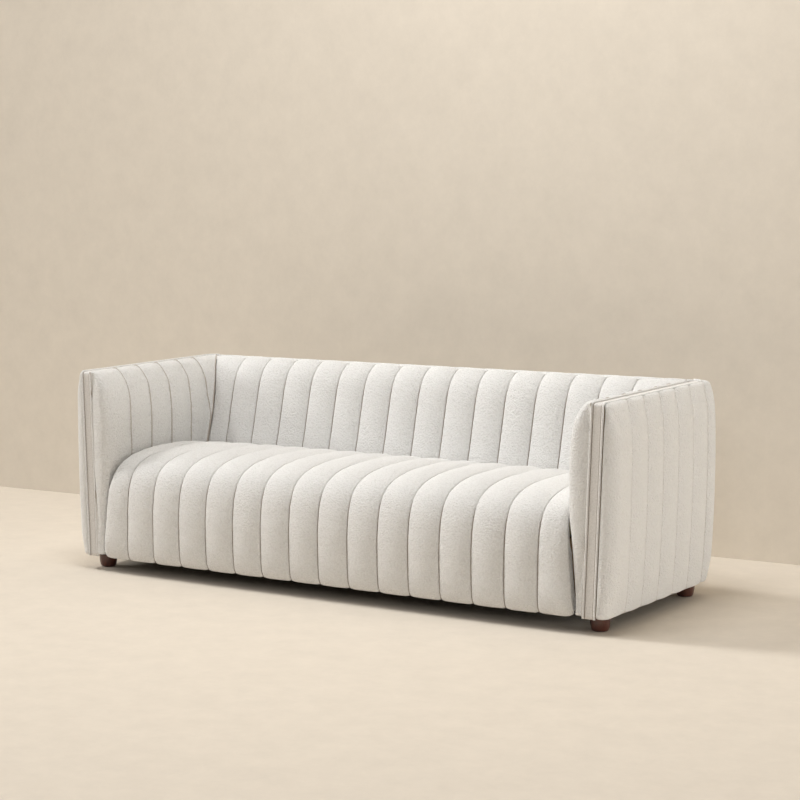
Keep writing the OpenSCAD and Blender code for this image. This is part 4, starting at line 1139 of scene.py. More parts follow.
@dataclass
class ArmTrim:
    """Flat band up the arm's front and along its top, with a welt on both edges."""

    shape: SofaShape
    corner_r: float = 0.011
    recess: float = 0.0035
    welt_proud: float = 0.0012
    # Scales the band's distance from its edges, which sets how far its painted edge shade reaches
    edge_shade: float = 0.5
    step: float = 0.012
    turn_steps: int = 9
    band_t: float = 0.0115
    band_short: float = 0.0015
    least_reach: float = 0.001
    hang_share: float = 0.75

    def path(self, away: float, end_y: float) -> tuple[np.ndarray, np.ndarray]:
        """Depths, heights and outward directions of a line up the front and along the top.

        Args:
            away: How far the line lies inside the arm's front and top faces.
            end_y: Depth at which it ends.

        Returns:
            Points as depth and height before the rise, and their outward directions.
        """
        s = self.shape
        front, top = s.band_y + away, s.arm_h - away
        r = self.corner_r
        low = s.pad_low_z - self.hang_share * s.front_hang
        climb = np.linspace(low, top - r, int((top - s.pad_low_z) / self.step))
        angle = np.linspace(0, math.pi / 2, self.turn_steps)[1:-1]
        back = np.linspace(front + r, end_y, int((end_y - front) / self.step))
        points = np.concatenate([
            np.stack([np.full(len(climb), front), climb], axis=1),
            np.stack([front + r * (1 - np.cos(angle)), top - r + r * np.sin(angle)], axis=1),
            np.stack([back, np.full(len(back), top)], axis=1),
        ])
        out = np.concatenate([
            np.tile([-1.0, 0.0], (len(climb), 1)), np.stack([-np.cos(angle), np.sin(angle)], axis=1),
            np.tile([0.0, 1.0], (len(back), 1)),
        ])
        return points, out

    def band(self, side: Side) -> bpy.types.Object:
        """Builds one side's flat band."""
        s = self.shape
        half = s.band_w / 2 - s.welt_d - s.soft_gap
        end_y = s.frame_rear_y - s.welt_d - s.soft_gap
        points, out = self.path(self.recess, end_y - self.band_short)
        section = strip_section(self.band_t)
        rings = []
        for (y, z), (oy, oz) in zip(points, out):
            axis = float(s.arm_axis(z))
            cut = max(y - (end_y - s.band_w), 0.0)
            high = half - s.band_w + math.sqrt(max(s.band_w**2 - cut**2, 0.0))
            middle, reach = (high - half) / 2, max((high + half) / 2, self.least_reach)
            rings.append([
                [
                    side.value * (axis + middle + reach * u), y + oy * h,
                    float(s.risen(z + oz * h, y)),
                ]
                for u, h in section
            ])
        piece = closed_tube(f"arm_band_strip_{side.word}", np.array(rings))
        # Painted shade: darkens the band towards its edges beside the welts
        from_edge = np.tile(self.edge_shade * half * (1 - np.abs(section[:, 0])), len(rings))
        add_values(piece.data, "seam_gap", from_edge)
        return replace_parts(piece, f"arm_band_{side.word}")

    def welt(self, side: Side, edge: int) -> bpy.types.Object:
        """Builds the welt on one edge of a side's band.

        Args:
            side: End of the sofa.
            edge: 1 on the outer edge of the band and -1 on the inner one.

        Returns:
            The new object.
        """
        s = self.shape
        r = s.welt_d / 2
        off = edge * (s.band_w / 2 - r - s.soft_gap)
        last_y = s.back_band_y - s.welt_d if edge < 0 else s.frame_rear_y - s.band_w
        points, out = self.path(r - s.soft_gap - self.welt_proud, last_y)
        centre = [
            (float(s.arm_axis(z)) + off, y, float(s.risen(z, y)), oy, oz)
            for (y, z), (oy, oz) in zip(points, out)
        ]
        across = [(1.0, 0.0)] * len(centre)
        if edge > 0:
            turn_r = s.band_w - s.welt_d
            x0, _, z0 = centre[-1][:3]
            for angle in np.linspace(0, math.pi / 2, self.turn_steps)[1:]:
                y = last_y + turn_r * math.sin(angle)
                rise = float(s.risen(s.arm_h, y) - s.risen(s.arm_h, last_y))
                centre.append((x0 - turn_r * (1 - math.cos(angle)), y, z0 + rise, 0.0, 1.0))
                across.append((math.cos(angle), math.sin(angle)))
        rings = [
            [
                [side.value * (x + ax * u), y + ay * u + oy * v, z + oz * v]
                for u, v in welt_section(r)
            ]
            for (x, y, z, oy, oz), (ax, ay) in zip(centre, across)
        ]
        word = "outer" if edge > 0 else "inner"
        return closed_tube(f"arm_welt_{word}_{side.word}", np.array(rings))


@dataclass
class BackTrim:
    """Band along the top of the back, with a welt on both edges."""

    shape: SofaShape
    band_drop: float = 0.003
    band_t: float = 0.0105
    rings_along: int = 80

    def build(self) -> list[bpy.types.Object]:
        """Builds the band and its two welts."""
        s = self.shape
        half_x = float(s.arm_axis(s.arm_h)) - s.band_w / 2 + s.welt_d - s.soft_gap
        top = s.crest_z - self.band_drop
        front = s.back_band_y + s.welt_d + s.soft_gap
        rear = s.frame_rear_y - s.welt_d - s.soft_gap
        middle, reach = (front + rear) / 2, (rear - front) / 2
        section = strip_section(self.band_t)
        xs = np.linspace(-half_x, half_x, self.rings_along)
        band = closed_tube("back_band_strip", np.array([
            [[x, middle + reach * u, top - STRIP_CROWN + h] for u, h in section] for x in xs
        ]))
        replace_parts(band, "back_band")
        pieces = [band]
        r = s.welt_d / 2
        xs = np.linspace(-half_x + r, half_x - r, self.rings_along)
        ring = welt_section(r)
        welt_ys = {"front": s.back_band_y + r + s.soft_gap, "rear": s.frame_rear_y - r - s.soft_gap}
        for word, y in welt_ys.items():
            pieces.append(closed_tube(f"back_welt_{word}", np.array([
                [[x, y + u, top - r + self.band_drop + v] for u, v in ring] for x in xs
            ])))
        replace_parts(pieces[1], "back_piping")
        return pieces


def softened_copy(node: str, name: str, radius: float, segments: int = 3) -> bpy.types.Object:
    """Copies a frame node's block and rounds its edges, as foam and cloth have them.

    Args:
        node: The frame node that the piece stands for.
        name: Name of the new piece.
        radius: Radius of its edges.
        segments: Steps in that radius.

    Returns:
        The new object.
    """
    mesh = bpy.data.objects[node].data.copy()
    mesh.name = name
    mesh.materials.clear()
    block = bmesh.new()
    block.from_mesh(mesh)
    bmesh.ops.remove_doubles(block, verts=block.verts, dist=WELD)
    bmesh.ops.dissolve_limit(
        block, angle_limit=math.radians(FLAT_DEG), verts=block.verts, edges=block.edges
    )
    sharp = [
        edge for edge in block.edges
        if len(edge.link_faces) == 2 and edge.calc_face_angle() > math.radians(SHARP_DEG)
    ]
    bmesh.ops.bevel(
        block, geom=sharp, offset=radius, segments=segments, affect="EDGES", clamp_overlap=True
    )
    bmesh.ops.recalc_face_normals(block, faces=block.faces)
    block.to_mesh(mesh)
    block.free()
    piece = new_object(name, mesh)
    activate(piece)
    bpy.ops.object.shade_smooth_by_angle(angle=math.radians(SMOOTH_DEG))
    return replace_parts(piece, node)


class NodeSheet:
    """Adds nodes to one tree and joins their sockets."""

    def __init__(self, tree: bpy.types.NodeTree) -> None:
        """Starts on a tree and clears it.

        Args:
            tree: A material's or a group's tree.
        """
        self.tree = tree
        tree.nodes.clear()

    def add(self, kind: str, values: dict | None = None, **settings: object) -> bpy.types.Node:
        """Adds one node.

        Args:
            kind: Blender's name for the node's type.
            values: Input sockets' values, by socket name or number.
            settings: The node's own settings.

        Returns:
            The node.
        """
        node = self.tree.nodes.new(kind)
        for name, value in settings.items():
            setattr(node, name, value)
        for socket, value in (values or {}).items():
            node.inputs[socket].default_value = value
        return node

    def join(self, start: bpy.types.NodeSocket, end: bpy.types.NodeSocket) -> None:
        """Links an output socket to an input socket."""
        self.tree.links.new(start, end)

    def maths(self, operation: str, first: object, second: object) -> bpy.types.NodeSocket:
        """Works out one value from two, each a socket or a number.

        Args:
            operation: Blender's name for the operation.
            first: First value.
            second: Second value.

        Returns:
            The result's socket.
        """
        node = self.add("ShaderNodeMath", operation=operation)
        for slot, value in enumerate((first, second)):
            if isinstance(value, bpy.types.NodeSocket):
                self.join(value, node.inputs[slot])
            else:
                node.inputs[slot].default_value = value
        return node.outputs[0]

    def blend(self, share: bpy.types.NodeSocket, low: tuple, high: tuple) -> bpy.types.NodeSocket:
        """Mixes two colours by a share that varies over the surface."""
        node = self.add("ShaderNodeMix", data_type="RGBA")
        self.join(share, node.inputs["Factor"])
        node.inputs["A"].default_value = (*low, 1)
        node.inputs["B"].default_value = (*high, 1)
        return node.outputs["Result"]


class SurfaceEffects:
    """Node groups that several finishes share, each built once."""

    def __init__(self) -> None:
        """Builds the groups."""
        self.nubs = self.build_nubs()
        self.grain = self.build_grain()
        self.weave = self.build_weave()
        self.speckle = self.build_speckle()

    def start(
        self, name: str, measure: str, kind: str = "NodeSocketFloat"
    ) -> tuple[NodeSheet, bpy.types.NodeOutputs]:
        """Starts a group that turns a place, a measure and a relief into a tone and a normal.

        Args:
            name: Name of the group.
            measure: Name of the socket that sets how large the pattern is.
            kind: That socket's type.

        Returns:
            The sheet and the group's inner inputs.
        """
        tree = bpy.data.node_groups.new(name, "ShaderNodeTree")
        for label, socket, way in (
            ("Vector", "NodeSocketVector", "INPUT"), (measure, kind, "INPUT"),
            ("Relief", "NodeSocketFloat", "INPUT"), ("Tone", "NodeSocketFloat", "OUTPUT"),
            ("Normal", "NodeSocketVector", "OUTPUT"),
        ):
            tree.interface.new_socket(name=label, in_out=way, socket_type=socket)
        sheet = NodeSheet(tree)
        return sheet, sheet.add("NodeGroupInput").outputs

    def finish(
        self, sheet: NodeSheet, inputs: bpy.types.NodeOutputs, height: bpy.types.NodeSocket,
        strength: float, tone: bpy.types.NodeSocket | None = None,
    ) -> bpy.types.NodeTree:
        """Ends a group with its relief and tone.

        Args:
            sheet: The group's sheet.
            inputs: The group's inner inputs.
            height: Height of the surface.
            strength: How strongly it bends the normal.
            tone: Its tone, where that isn't the height.

        Returns:
            The group.
        """
        bump = sheet.add("ShaderNodeBump", {"Strength": strength})
        sheet.join(height, bump.inputs["Height"])
        sheet.join(inputs["Relief"], bump.inputs["Distance"])
        end = sheet.add("NodeGroupOutput")
        sheet.join(tone or height, end.inputs["Tone"])
        sheet.join(bump.outputs["Normal"], end.inputs["Normal"])
        return sheet.tree

    def build_nubs(self) -> bpy.types.NodeTree:
        """Looped yarn that lies in small soft nubs, with finer fuzz on them."""
        sheet, inputs = self.start("Nubby yarn", "Size")
        swirl = sheet.add("ShaderNodeTexNoise", {"Scale": 60.0, "Detail": 2.0})
        sheet.join(inputs["Vector"], swirl.inputs["Vector"])
        offset = sheet.add(
            "ShaderNodeVectorMath", {1: (0.004, 0.004, 0.004)}, operation="MULTIPLY_ADD"
        )
        sheet.join(swirl.outputs["Color"], offset.inputs[0])
        sheet.join(inputs["Vector"], offset.inputs[2])
        nub = sheet.add("ShaderNodeTexVoronoi", feature="SMOOTH_F1")
        nub.inputs["Smoothness"].default_value = 0.6
        sheet.join(offset.outputs[0], nub.inputs["Vector"])
        sheet.join(inputs["Size"], nub.inputs["Scale"])
        loops = sheet.add("ShaderNodeTexNoise", {"Detail": 3.0, "Roughness": 0.6})
        sheet.join(inputs["Vector"], loops.inputs["Vector"])
        sheet.join(sheet.maths("MULTIPLY", inputs["Size"], 2.3), loops.inputs["Scale"])
        dome = sheet.maths("SUBTRACT", 1.0, nub.outputs["Distance"])
        height = sheet.maths(
            "ADD", sheet.maths("MULTIPLY", dome, 0.6),
            sheet.maths("MULTIPLY", loops.outputs["Fac"], 0.6),
        )
        return self.finish(sheet, inputs, height, 1.0, sheet.maths("SUBTRACT", height, 0.25))

    def build_grain(self) -> bpy.types.NodeTree:
        """Wood grain drawn out along one axis, with fine pores."""
        sheet, inputs = self.start("Wood grain", "Stretch", "NodeSocketVector")
        drawn = sheet.add("ShaderNodeVectorMath", operation="MULTIPLY")
        sheet.join(inputs["Vector"], drawn.inputs[0])
        sheet.join(inputs["Stretch"], drawn.inputs[1])
        rings = sheet.add("ShaderNodeTexNoise", {"Scale": 1.0, "Detail": 4.0, "Distortion": 0.8})
        sheet.join(drawn.outputs[0], rings.inputs["Vector"])
        pores = sheet.add("ShaderNodeTexNoise", {"Scale": 6.0, "Detail": 2.0})
        sheet.join(drawn.outputs[0], pores.inputs["Vector"])
        tone = sheet.maths(
            "ADD", sheet.maths("MULTIPLY", rings.outputs["Fac"], 0.75),
            sheet.maths("MULTIPLY", pores.outputs["Fac"], 0.25),
        )
        return self.finish(sheet, inputs, tone, 0.6)

    def build_weave(self) -> bpy.types.NodeTree:
        """Plain weave of two crossing sets of threads."""
        sheet, inputs = self.start("Plain weave", "Threads")
        split = sheet.add("ShaderNodeSeparateXYZ")
        sheet.join(inputs["Vector"], split.inputs[0])
        upright = sheet.maths("ADD", split.outputs["Y"], split.outputs["Z"])
        warp, weft = (
            sheet.maths("SINE", sheet.maths("MULTIPLY", run, inputs["Threads"]), 0.0)
            for run in (split.outputs["X"], upright)
        )
        cross = sheet.maths("MULTIPLY", warp, weft)
        tone = sheet.maths("ADD", sheet.maths("MULTIPLY", cross, 0.5), 0.5)
        return self.finish(sheet, inputs, tone, 0.8)

    def build_speckle(self) -> bpy.types.NodeTree:
        """Irregular specks, as in foam, pressed board and felt."""
        sheet, inputs = self.start("Speckle", "Size")
        specks = sheet.add("ShaderNodeTexNoise", {"Detail": 5.0, "Roughness": 0.65})
        sheet.join(inputs["Vector"], specks.inputs["Vector"])
        sheet.join(inputs["Size"], specks.inputs["Scale"])
        return self.finish(sheet, inputs, specks.outputs["Fac"], 0.7)


@dataclass(frozen=True)
class Finish:
    """A surface finish: two tones spread by a shared effect, with its gloss and, for cloth, painted shade
    in its seams.
    """

    name: str
    dark: tuple[float, float, float]
    light: tuple[float, float, float]
    effect: str
    values: tuple[tuple[str, object], ...]
    roughness: float = 0.8
    metallic: float = 0.0
    sheen: float = 0.0
    coat: float = 0.0
    # Colour multiplied in at the seams: painted shade in their hollows
    seam_shade_tone: tuple[float, float, float] | None = None

    def material(self, effects: SurfaceEffects) -> bpy.types.Material:
        """Builds the finish as a node material.

        Args:
            effects: The shared node groups.

        Returns:
            The material.
        """
        made = bpy.data.materials.new(self.name)
        made.use_nodes = True
        sheet = NodeSheet(made.node_tree)
        place = sheet.add("ShaderNodeTexCoord")
        effect = sheet.add("ShaderNodeGroup", node_tree=getattr(effects, self.effect))
        sheet.join(place.outputs["Object"], effect.inputs["Vector"])
        for label, value in self.values:
            effect.inputs[label].default_value = value
        shader = sheet.add("ShaderNodeBsdfPrincipled", {
            "Roughness": self.roughness, "Metallic": self.metallic, "Sheen Weight": self.sheen,
            "Sheen Roughness": 0.5, "Coat Weight": self.coat, "Coat Roughness": 0.12,
        })
        colour = sheet.blend(effect.outputs["Tone"], self.dark, self.light)
        # Painted shade in the seams' hollows
        if self.seam_shade_tone:
            colour = self.paint_seam_shade(sheet, colour)
        sheet.join(colour, shader.inputs["Base Color"])
        sheet.join(effect.outputs["Normal"], shader.inputs["Normal"])
        output = sheet.add("ShaderNodeOutputMaterial")
        sheet.join(shader.outputs[0], output.inputs["Surface"])
        return made

    def paint_seam_shade(self, sheet: NodeSheet, colour: bpy.types.NodeSocket) -> bpy.types.NodeSocket:
        """Paints shade into the bottom of the sewn seams, where little light falls.

        Args:
            sheet: The material's sheet.
            colour: Colour of the cloth.

        Returns:
            The darkened colour's socket.
        """
        gap = sheet.add("ShaderNodeAttribute", attribute_name="seam_gap")
        depth = sheet.add("ShaderNodeMapRange", {
            "From Min": SEAM_FULL_SHADE_W, "From Max": SEAM_SHADE_W, "To Min": 0.0, "To Max": 1.0,
        })
        sheet.join(gap.outputs["Fac"], depth.inputs["Value"])
        painted_shade = sheet.blend(depth.outputs["Result"], self.seam_shade_tone, (1.0, 1.0, 1.0))
        mix = sheet.add("ShaderNodeMix", data_type="RGBA", blend_type="MULTIPLY")
        mix.inputs["Factor"].default_value = 1.0
        sheet.join(colour, mix.inputs["A"])
        sheet.join(painted_shade, mix.inputs["B"])
        return mix.outputs["Result"]


# Cloths with painted shade in their seams: dark brown on the seat and back, lighter on the inner arms,
# lightest on the outer faces
NUBBY_CLOTH = Finish(
    "Nubby cream cloth", (0.76, 0.747, 0.718), (0.975, 0.965, 0.945), "nubs",
    (("Size", 170.0), ("Relief", 0.0055)), roughness=0.92, sheen=0.2, seam_shade_tone=(0.36, 0.27, 0.20),
)
ARM_NUBBY_CLOTH = replace(
    NUBBY_CLOTH, name="Nubby cream cloth with soft seams", seam_shade_tone=(0.60, 0.52, 0.45)
)
OUTER_NUBBY_CLOTH = replace(
    NUBBY_CLOTH, name="Nubby cream cloth with light seams", dark=(0.82, 0.806, 0.776),
    light=(0.925, 0.915, 0.893), seam_shade_tone=(0.84, 0.80, 0.76),
)
TRIM_CLOTH = Finish(
    "Cream trim cloth", (0.70, 0.69, 0.665), (0.93, 0.92, 0.90), "nubs",
    (("Size", 190.0), ("Relief", 0.0012)), roughness=0.92, sheen=0.2,
)
# Darker copy of the trim cloth: painted shade of the band's recess between its welts, and painted shade
# along its edges
SHADED_BAND_CLOTH = replace(
    TRIM_CLOTH, name="Cream band cloth", dark=(0.62, 0.595, 0.56), light=(0.84, 0.81, 0.775),
    seam_shade_tone=(0.40, 0.31, 0.25),
)
STAINED_WOOD = Finish(
    "Stained foot wood", (0.035, 0.009, 0.006), (0.12, 0.032, 0.018), "grain",
    (("Stretch", (90.0, 90.0, 14.0)), ("Relief", 0.0002)), roughness=0.32, coat=0.35,
)
PLAIN_TIMBER = Finish(
    "Sawn frame timber", (0.42, 0.27, 0.14), (0.66, 0.48, 0.30), "grain",
    (("Stretch", (8.0, 60.0, 60.0)), ("Relief", 0.0005)), roughness=0.7,
)
UPRIGHT_TIMBER = replace(
    PLAIN_TIMBER, name="Sawn upright timber",
    values=(("Stretch", (60.0, 60.0, 8.0)), ("Relief", 0.0005)),
)
PRESSED_BOARD = Finish(
    "Pressed grey board", (0.28, 0.22, 0.15), (0.50, 0.42, 0.31), "speckle",
    (("Size", 320.0), ("Relief", 0.0004)),
)
YELLOW_FOAM = Finish(
    "Open foam", (0.62, 0.52, 0.28), (0.86, 0.78, 0.52), "speckle",
    (("Size", 700.0), ("Relief", 0.0012)), roughness=0.95,
)
JUTE_WEBBING = Finish(
    "Jute webbing", (0.28, 0.20, 0.11), (0.52, 0.40, 0.24), "weave",
    (("Threads", 1500.0), ("Relief", 0.0006)),
)
DECK_CLOTH = Finish(
    "Deck cloth", (0.50, 0.46, 0.38), (0.70, 0.66, 0.57), "weave",
    (("Threads", 2400.0), ("Relief", 0.0003)),
)
DUST_CLOTH = Finish(
    "Black dust cloth", (0.012, 0.012, 0.013), (0.035, 0.035, 0.037), "speckle",
    (("Size", 900.0), ("Relief", 0.0003)), roughness=0.9,
)
BRIGHT_STEEL = Finish(
    "Spring steel", (0.42, 0.42, 0.43), (0.62, 0.62, 0.63), "speckle",
    (("Size", 500.0), ("Relief", 0.0001)), roughness=0.35, metallic=1.0,
)
PAPER_TIE = Finish(
    "Paper tie wire", (0.30, 0.20, 0.11), (0.50, 0.36, 0.22), "speckle",
    (("Size", 600.0), ("Relief", 0.0003)),
)
GLIDE_NYLON = Finish(
    "Dark nylon", (0.02, 0.02, 0.02), (0.06, 0.06, 0.06), "speckle",
    (("Size", 800.0), ("Relief", 0.0001)), roughness=0.45,
)



def on_both_sides(*stems: str) -> tuple[str, ...]:
    """Names of nodes that both ends of the sofa have."""
    return tuple(f"{stem}_{side.word}" for stem in stems for side in Side)


NODE_FINISHES = {
    PLAIN_TIMBER: (
        "back_top_rail", "back_tie_rail", "back_bottom_rail", "front_rail", "rear_rail",
        "corner_blocks", "cross_rails", *on_both_sides("arm_sill", "arm_top_rail", "end_rail"),
    ),
    UPRIGHT_TIMBER: (
        "back_uprights_middle", *on_both_sides("back_upright", "arm_front_post", "arm_rear_post"),
    ),
    PRESSED_BOARD: ("outer_back_board", *on_both_sides("arm_inner_board", "arm_outer_board")),
    BRIGHT_STEEL: ("seat_springs", "spring_clips", "foot_bolts", "tee_nuts"),
    PAPER_TIE: ("spring_ties",),
    STAINED_WOOD: on_both_sides("foot_front", "foot_rear"),
    GLIDE_NYLON: ("foot_glides",),
}


class Dresser:
    """Gives pieces their finish and place on the sofa's body."""

    def __init__(self) -> None:
        """Builds the shared effects."""
        self.effects = SurfaceEffects()
        self.made: dict[Finish, bpy.types.Material] = {}

    def material(self, finish: Finish) -> bpy.types.Material:
        """The finish's material, built when first asked for."""
        if finish not in self.made:
            self.made[finish] = finish.material(self.effects)
        return self.made[finish]

    def dress(self, piece: bpy.types.Object, finish: Finish, slot: str) -> bpy.types.Object:
        """Dresses one new piece.

        Args:
            piece: The piece.
            finish: Its finish.
            slot: Not used.

        Returns:
            The piece.
        """
        piece.data.materials.clear()
        piece.data.materials.append(self.material(finish))
        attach(piece, "root")
        log.info("%s: %d faces, %s", piece.name, len(piece.data.polygons), finish.name)
        return piece

    def dress_nodes(self) -> None:
        """Gives the frame's own nodes their finishes."""
        for finish, nodes in NODE_FINISHES.items():
            for node in nodes:
                owner = bpy.data.objects[node]
                if not owner.material_slots:
                    owner.data.materials.append(self.material(finish))
                for slot in owner.material_slots:
                    slot.link = "OBJECT"
                    slot.material = self.material(finish)


@dataclass
class Upholstery:
    """All the channelled covers and their trim."""

    shape: SofaShape
    dresser: Dresser
    tuck: float = 0.0035
    inner_maker: PadMaker = field(default_factory=PadMaker)
    outer_maker: PadMaker = field(
        default_factory=lambda: PadMaker(groove=0.0018, pucker_height=0.0002)
    )

    def pad(self, name: str, node: str, cover: Quilting, face: Face, cloth: Finish) -> None:
        """Builds and dresses one channelled cover.

        Args:
            name: Name of the piece.
            node: The soft node that it stands for.
            cover: Its grid.
            face: Which face of the sofa it covers.
            cloth: Its finish.
        """
        maker = self.inner_maker if face is Face.INNER else self.outer_maker
        piece = maker.make(name, cover.tucked(self.tuck))
        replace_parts(piece, node)
        self.dresser.dress(piece, cloth, "upholstery")

    def build(self) -> None:
        """Builds the covers, then the bands and welts."""
        s = self.shape
        seat, back = SeatCover(s).quilting(), BackCover(s).quilting()
        self.pad("seat_bench", "seat_cover", seat, Face.INNER, NUBBY_CLOTH)
        self.pad("back_inner_pad", "back_cover", back, Face.INNER, NUBBY_CLOTH)
        rear = OuterBackCover(s).quilting()
        self.pad("back_outer_pad", "outer_back_cover", rear, Face.OUTER, OUTER_NUBBY_CLOTH)
        inner, outer = ArmInnerCover(s).quilting(), ArmOuterCover(s).quilting()
        for side in Side:
            for face, cover, cloth in (
                (Face.INNER, inner, ARM_NUBBY_CLOTH), (Face.OUTER, outer, OUTER_NUBBY_CLOTH),
            ):
                word = face.name.lower()
                here = cover if side is Side.LEFT else cover.mirrored()
                name, node = f"arm_{word}_pad_{side.word}", f"arm_{word}_cover_{side.word}"
                self.pad(name, node, here, face, cloth)
            self.trim_arm(side)
        for piece in BackTrim(s).build():
            self.dresser.dress(piece, TRIM_CLOTH, "upholstery")

    def trim_arm(self, side: Side) -> None:
        """Builds one arm's band and welts."""
        trim = ArmTrim(self.shape)
        self.dresser.dress(trim.band(side), SHADED_BAND_CLOTH, "upholstery")
        for edge in (-1, 1):
            welt = trim.welt(side, edge)
            if edge > 0:
                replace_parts(welt, f"arm_piping_{side.word}")
            self.dresser.dress(welt, TRIM_CLOTH, "upholstery")


@dataclass
class Filling:
    """Foam, webbing and cloths inside and under the sofa."""

    dresser: Dresser
    foam_radius: float = 0.008
    foam_fill: float = 0.95
    strap_radius: float = 0.0003
    cloth_radius: float = 0.0002
    upward: float = 0.5

    def build(self) -> None:
        """Builds each soft piece over its frame node."""
        blocks = [("seat_foam", "seat_foam_block"), ("back_foam", "back_foam_block")]
        blocks += [(f"arm_foam_{side.word}", f"arm_foam_slab_{side.word}") for side in Side]
        for node, name in blocks:
            piece = softened_copy(node, name, self.foam_radius)
            self.dresser.dress(piece, YELLOW_FOAM, "foam")
        straps = softened_copy("back_webbing", "back_webbing_straps", self.strap_radius, 1)
        self.dresser.dress(straps, JUTE_WEBBING, "webbing")
        rails = ["front_rail", "rear_rail"]
        self.sheet("deck_cloth", "seat_deck_cloth", DECK_CLOTH, "webbing", rails)
        self.sheet("dust_cover", "under_dust_cloth", DUST_CLOTH, "dust_cloth", rails)

    def sheet(self, node: str, name: str, finish: Finish, slot: str, rests_on: list[str]) -> None:
        """Builds one stretched cloth.

        Args:
            node: The frame node that it stands for.
            name: Name of the piece.
            finish: Its finish.
            slot: The record's material slot.
            rests_on: Not used.
        """
        piece = softened_copy(node, name, self.cloth_radius, 1)
        self.dresser.dress(piece, finish, slot)


@dataclass(frozen=True)
class Lamp:
    """Round soft lamp that faces the sofa."""

    name: str
    place: tuple[float, float, float]
    size: float
    power: float
    aim: tuple[float, float, float] = (0.0, 0.0, 0.4)

    def build(self) -> None:
        """Hangs the lamp."""
        lamp = new_object(self.name, bpy.data.lights.new(self.name, "AREA"))
        lamp.data.shape = "DISK"
        lamp.data.size = self.size
        lamp.data.energy = self.power
        lamp.location = self.place
        x, y, z = np.array(self.aim) - np.array(self.place)
        lamp.rotation_euler = (math.atan2(math.hypot(x, y), -z), 0.0, math.atan2(y, x) - math.pi / 2)


LAMPS = (
    Lamp("Key", (-13.4, -2.6, 17.8), 3.6, 1650.0),
    Lamp("Top", (0.3, -1.0, 4.6), 2.0, 92.0),
    Lamp("Left", (-18.0, -5.1, 7.5), 4.5, 1250.0),
    Lamp("Front left", (-8.0, -9.0, 6.0), 4.0, 100.0),
    Lamp("Front right", (4.5, -8.5, 4.0), 3.0, 112.0),
    Lamp("Right", (6.2, 0.7, 0.85), 1.4, 98.0),
)


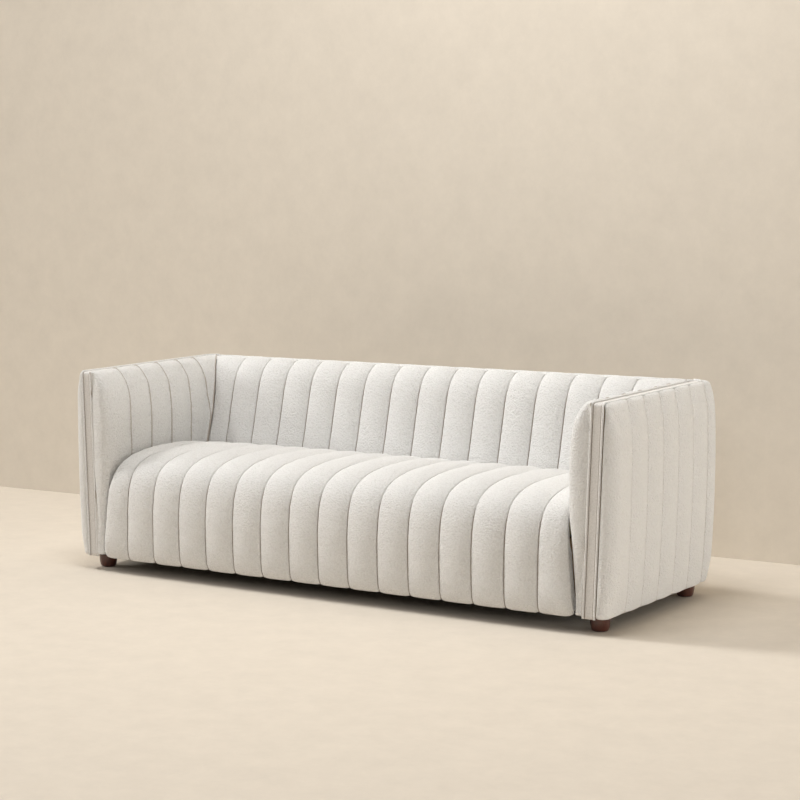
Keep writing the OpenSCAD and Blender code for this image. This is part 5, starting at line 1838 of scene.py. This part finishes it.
@dataclass
class Studio:
    """Floor, wall, lights and camera."""

    camera_place: tuple[float, float, float] = (3.764, -5.7794, 1.3611)
    camera_turn_deg: tuple[float, float, float] = (84.18, 0.0, 32.59)
    lens_mm: float = 86.98
    sensor_mm: float = 36.0
    view_reach: float = 100.0
    room_half: float = 30.0
    wall_y: float = 1.06
    wall_h: float = 12.0
    wall_turn_deg: float = 1.9
    mottling: float = 0.10
    floor_colour: tuple[float, float, float] = (0.70, 0.63, 0.535)
    wall_colour: tuple[float, float, float] = (0.735, 0.67, 0.575)

    def build(self) -> None:
        """Builds everything that isn't the sofa."""
        self.camera()
        self.surfaces()
        for lamp in LAMPS:
            lamp.build()
        self.backdrop()
        bpy.context.scene.view_settings.view_transform = "Standard"

    def camera(self) -> None:
        """Sets the photograph's view."""
        eye = new_object("Camera", bpy.data.cameras.new("Camera"))
        eye.location = self.camera_place
        eye.rotation_euler = tuple(math.radians(a) for a in self.camera_turn_deg)
        eye.data.lens = self.lens_mm
        eye.data.sensor_width = self.sensor_mm
        eye.data.clip_end = self.view_reach
        bpy.context.scene.camera = eye

    def plaster(self, name: str, colour: tuple[float, float, float]) -> bpy.types.Material:
        """Matt material with faint mottling, seen from its front alone.

        Args:
            name: Name of the material.
            colour: Its colour.

        Returns:
            The material.
        """
        made = bpy.data.materials.new(name)
        made.use_nodes = True
        sheet = NodeSheet(made.node_tree)
        place = sheet.add("ShaderNodeTexCoord")
        cloud = sheet.add("ShaderNodeTexNoise", {"Scale": 9.0, "Detail": 8.0, "Roughness": 0.74})
        sheet.join(place.outputs["Object"], cloud.inputs["Vector"])
        dark, light = (
            tuple(share * part for part in colour) for share in (1 - self.mottling, 1 + self.mottling)
        )
        shade = sheet.blend(cloud.outputs["Fac"], dark, light)
        shader = sheet.add("ShaderNodeBsdfPrincipled", {"Roughness": 0.9, "Specular IOR Level": 0.1})
        sheet.join(shade, shader.inputs["Base Color"])
        behind = sheet.add("ShaderNodeNewGeometry")
        clear = sheet.add("ShaderNodeBsdfTransparent")
        either = sheet.add("ShaderNodeMixShader")
        sheet.join(behind.outputs["Backfacing"], either.inputs["Fac"])
        sheet.join(shader.outputs[0], either.inputs[1])
        sheet.join(clear.outputs[0], either.inputs[2])
        output = sheet.add("ShaderNodeOutputMaterial")
        sheet.join(either.outputs[0], output.inputs["Surface"])
        return made

    def surfaces(self) -> None:
        """Lays the floor and stands the wall behind the sofa, at the photograph's angle."""
        far, high, y = self.room_half, self.wall_h, self.wall_y
        turn = Matrix.Rotation(math.radians(self.wall_turn_deg), 4, "Z")
        upright = [(-far, y, 0), (far, y, 0), (far, y, high), (-far, y, high)]
        for name, colour, points in (
            ("floor", self.floor_colour, [(-far, -far, 0), (far, -far, 0), (far, far, 0), (-far, far, 0)]),
            ("wall", self.wall_colour, [tuple(turn @ Vector(point)) for point in upright]),
        ):
            mesh = bpy.data.meshes.new(name)
            mesh.from_pydata(points, [], [(0, 1, 2, 3)])
            piece = new_object(name, mesh)
            piece.data.materials.append(self.plaster(f"Studio {name}", colour))

    def backdrop(self) -> None:
        """Lights the room dimly, and shows a pale backdrop beyond the floor to camera and mirrors."""
        world = bpy.data.worlds.new("Sky")
        bpy.context.scene.world = world
        world.use_nodes = True
        sheet = NodeSheet(world.node_tree)
        dim = sheet.add("ShaderNodeBackground", {"Color": (1.0, 0.90, 0.80, 1), "Strength": 0.115})
        pale = sheet.add("ShaderNodeBackground", {"Color": (*self.wall_colour, 1), "Strength": 1.0})
        rays = sheet.add("ShaderNodeLightPath").outputs
        seen = sheet.maths("MAXIMUM", rays["Is Camera Ray"], rays["Is Glossy Ray"])
        seen = sheet.maths("MAXIMUM", seen, rays["Is Transmission Ray"])
        either = sheet.add("ShaderNodeMixShader")
        sheet.join(seen, either.inputs["Fac"])
        sheet.join(dim.outputs[0], either.inputs[1])
        sheet.join(pale.outputs[0], either.inputs[2])
        output = sheet.add("ShaderNodeOutputWorld")
        sheet.join(either.outputs[0], output.inputs["Surface"])


def main() -> None:
    """Builds the sofa's looks round its frame."""
    logging.basicConfig(level=logging.INFO, format="%(message)s")
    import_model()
    shape = SofaShape.from_frame()
    dresser = Dresser()
    Studio().build()
    Upholstery(shape, dresser).build()
    Filling(dresser).build()
    dresser.dress_nodes()


if __name__ == "__main__":
    main()
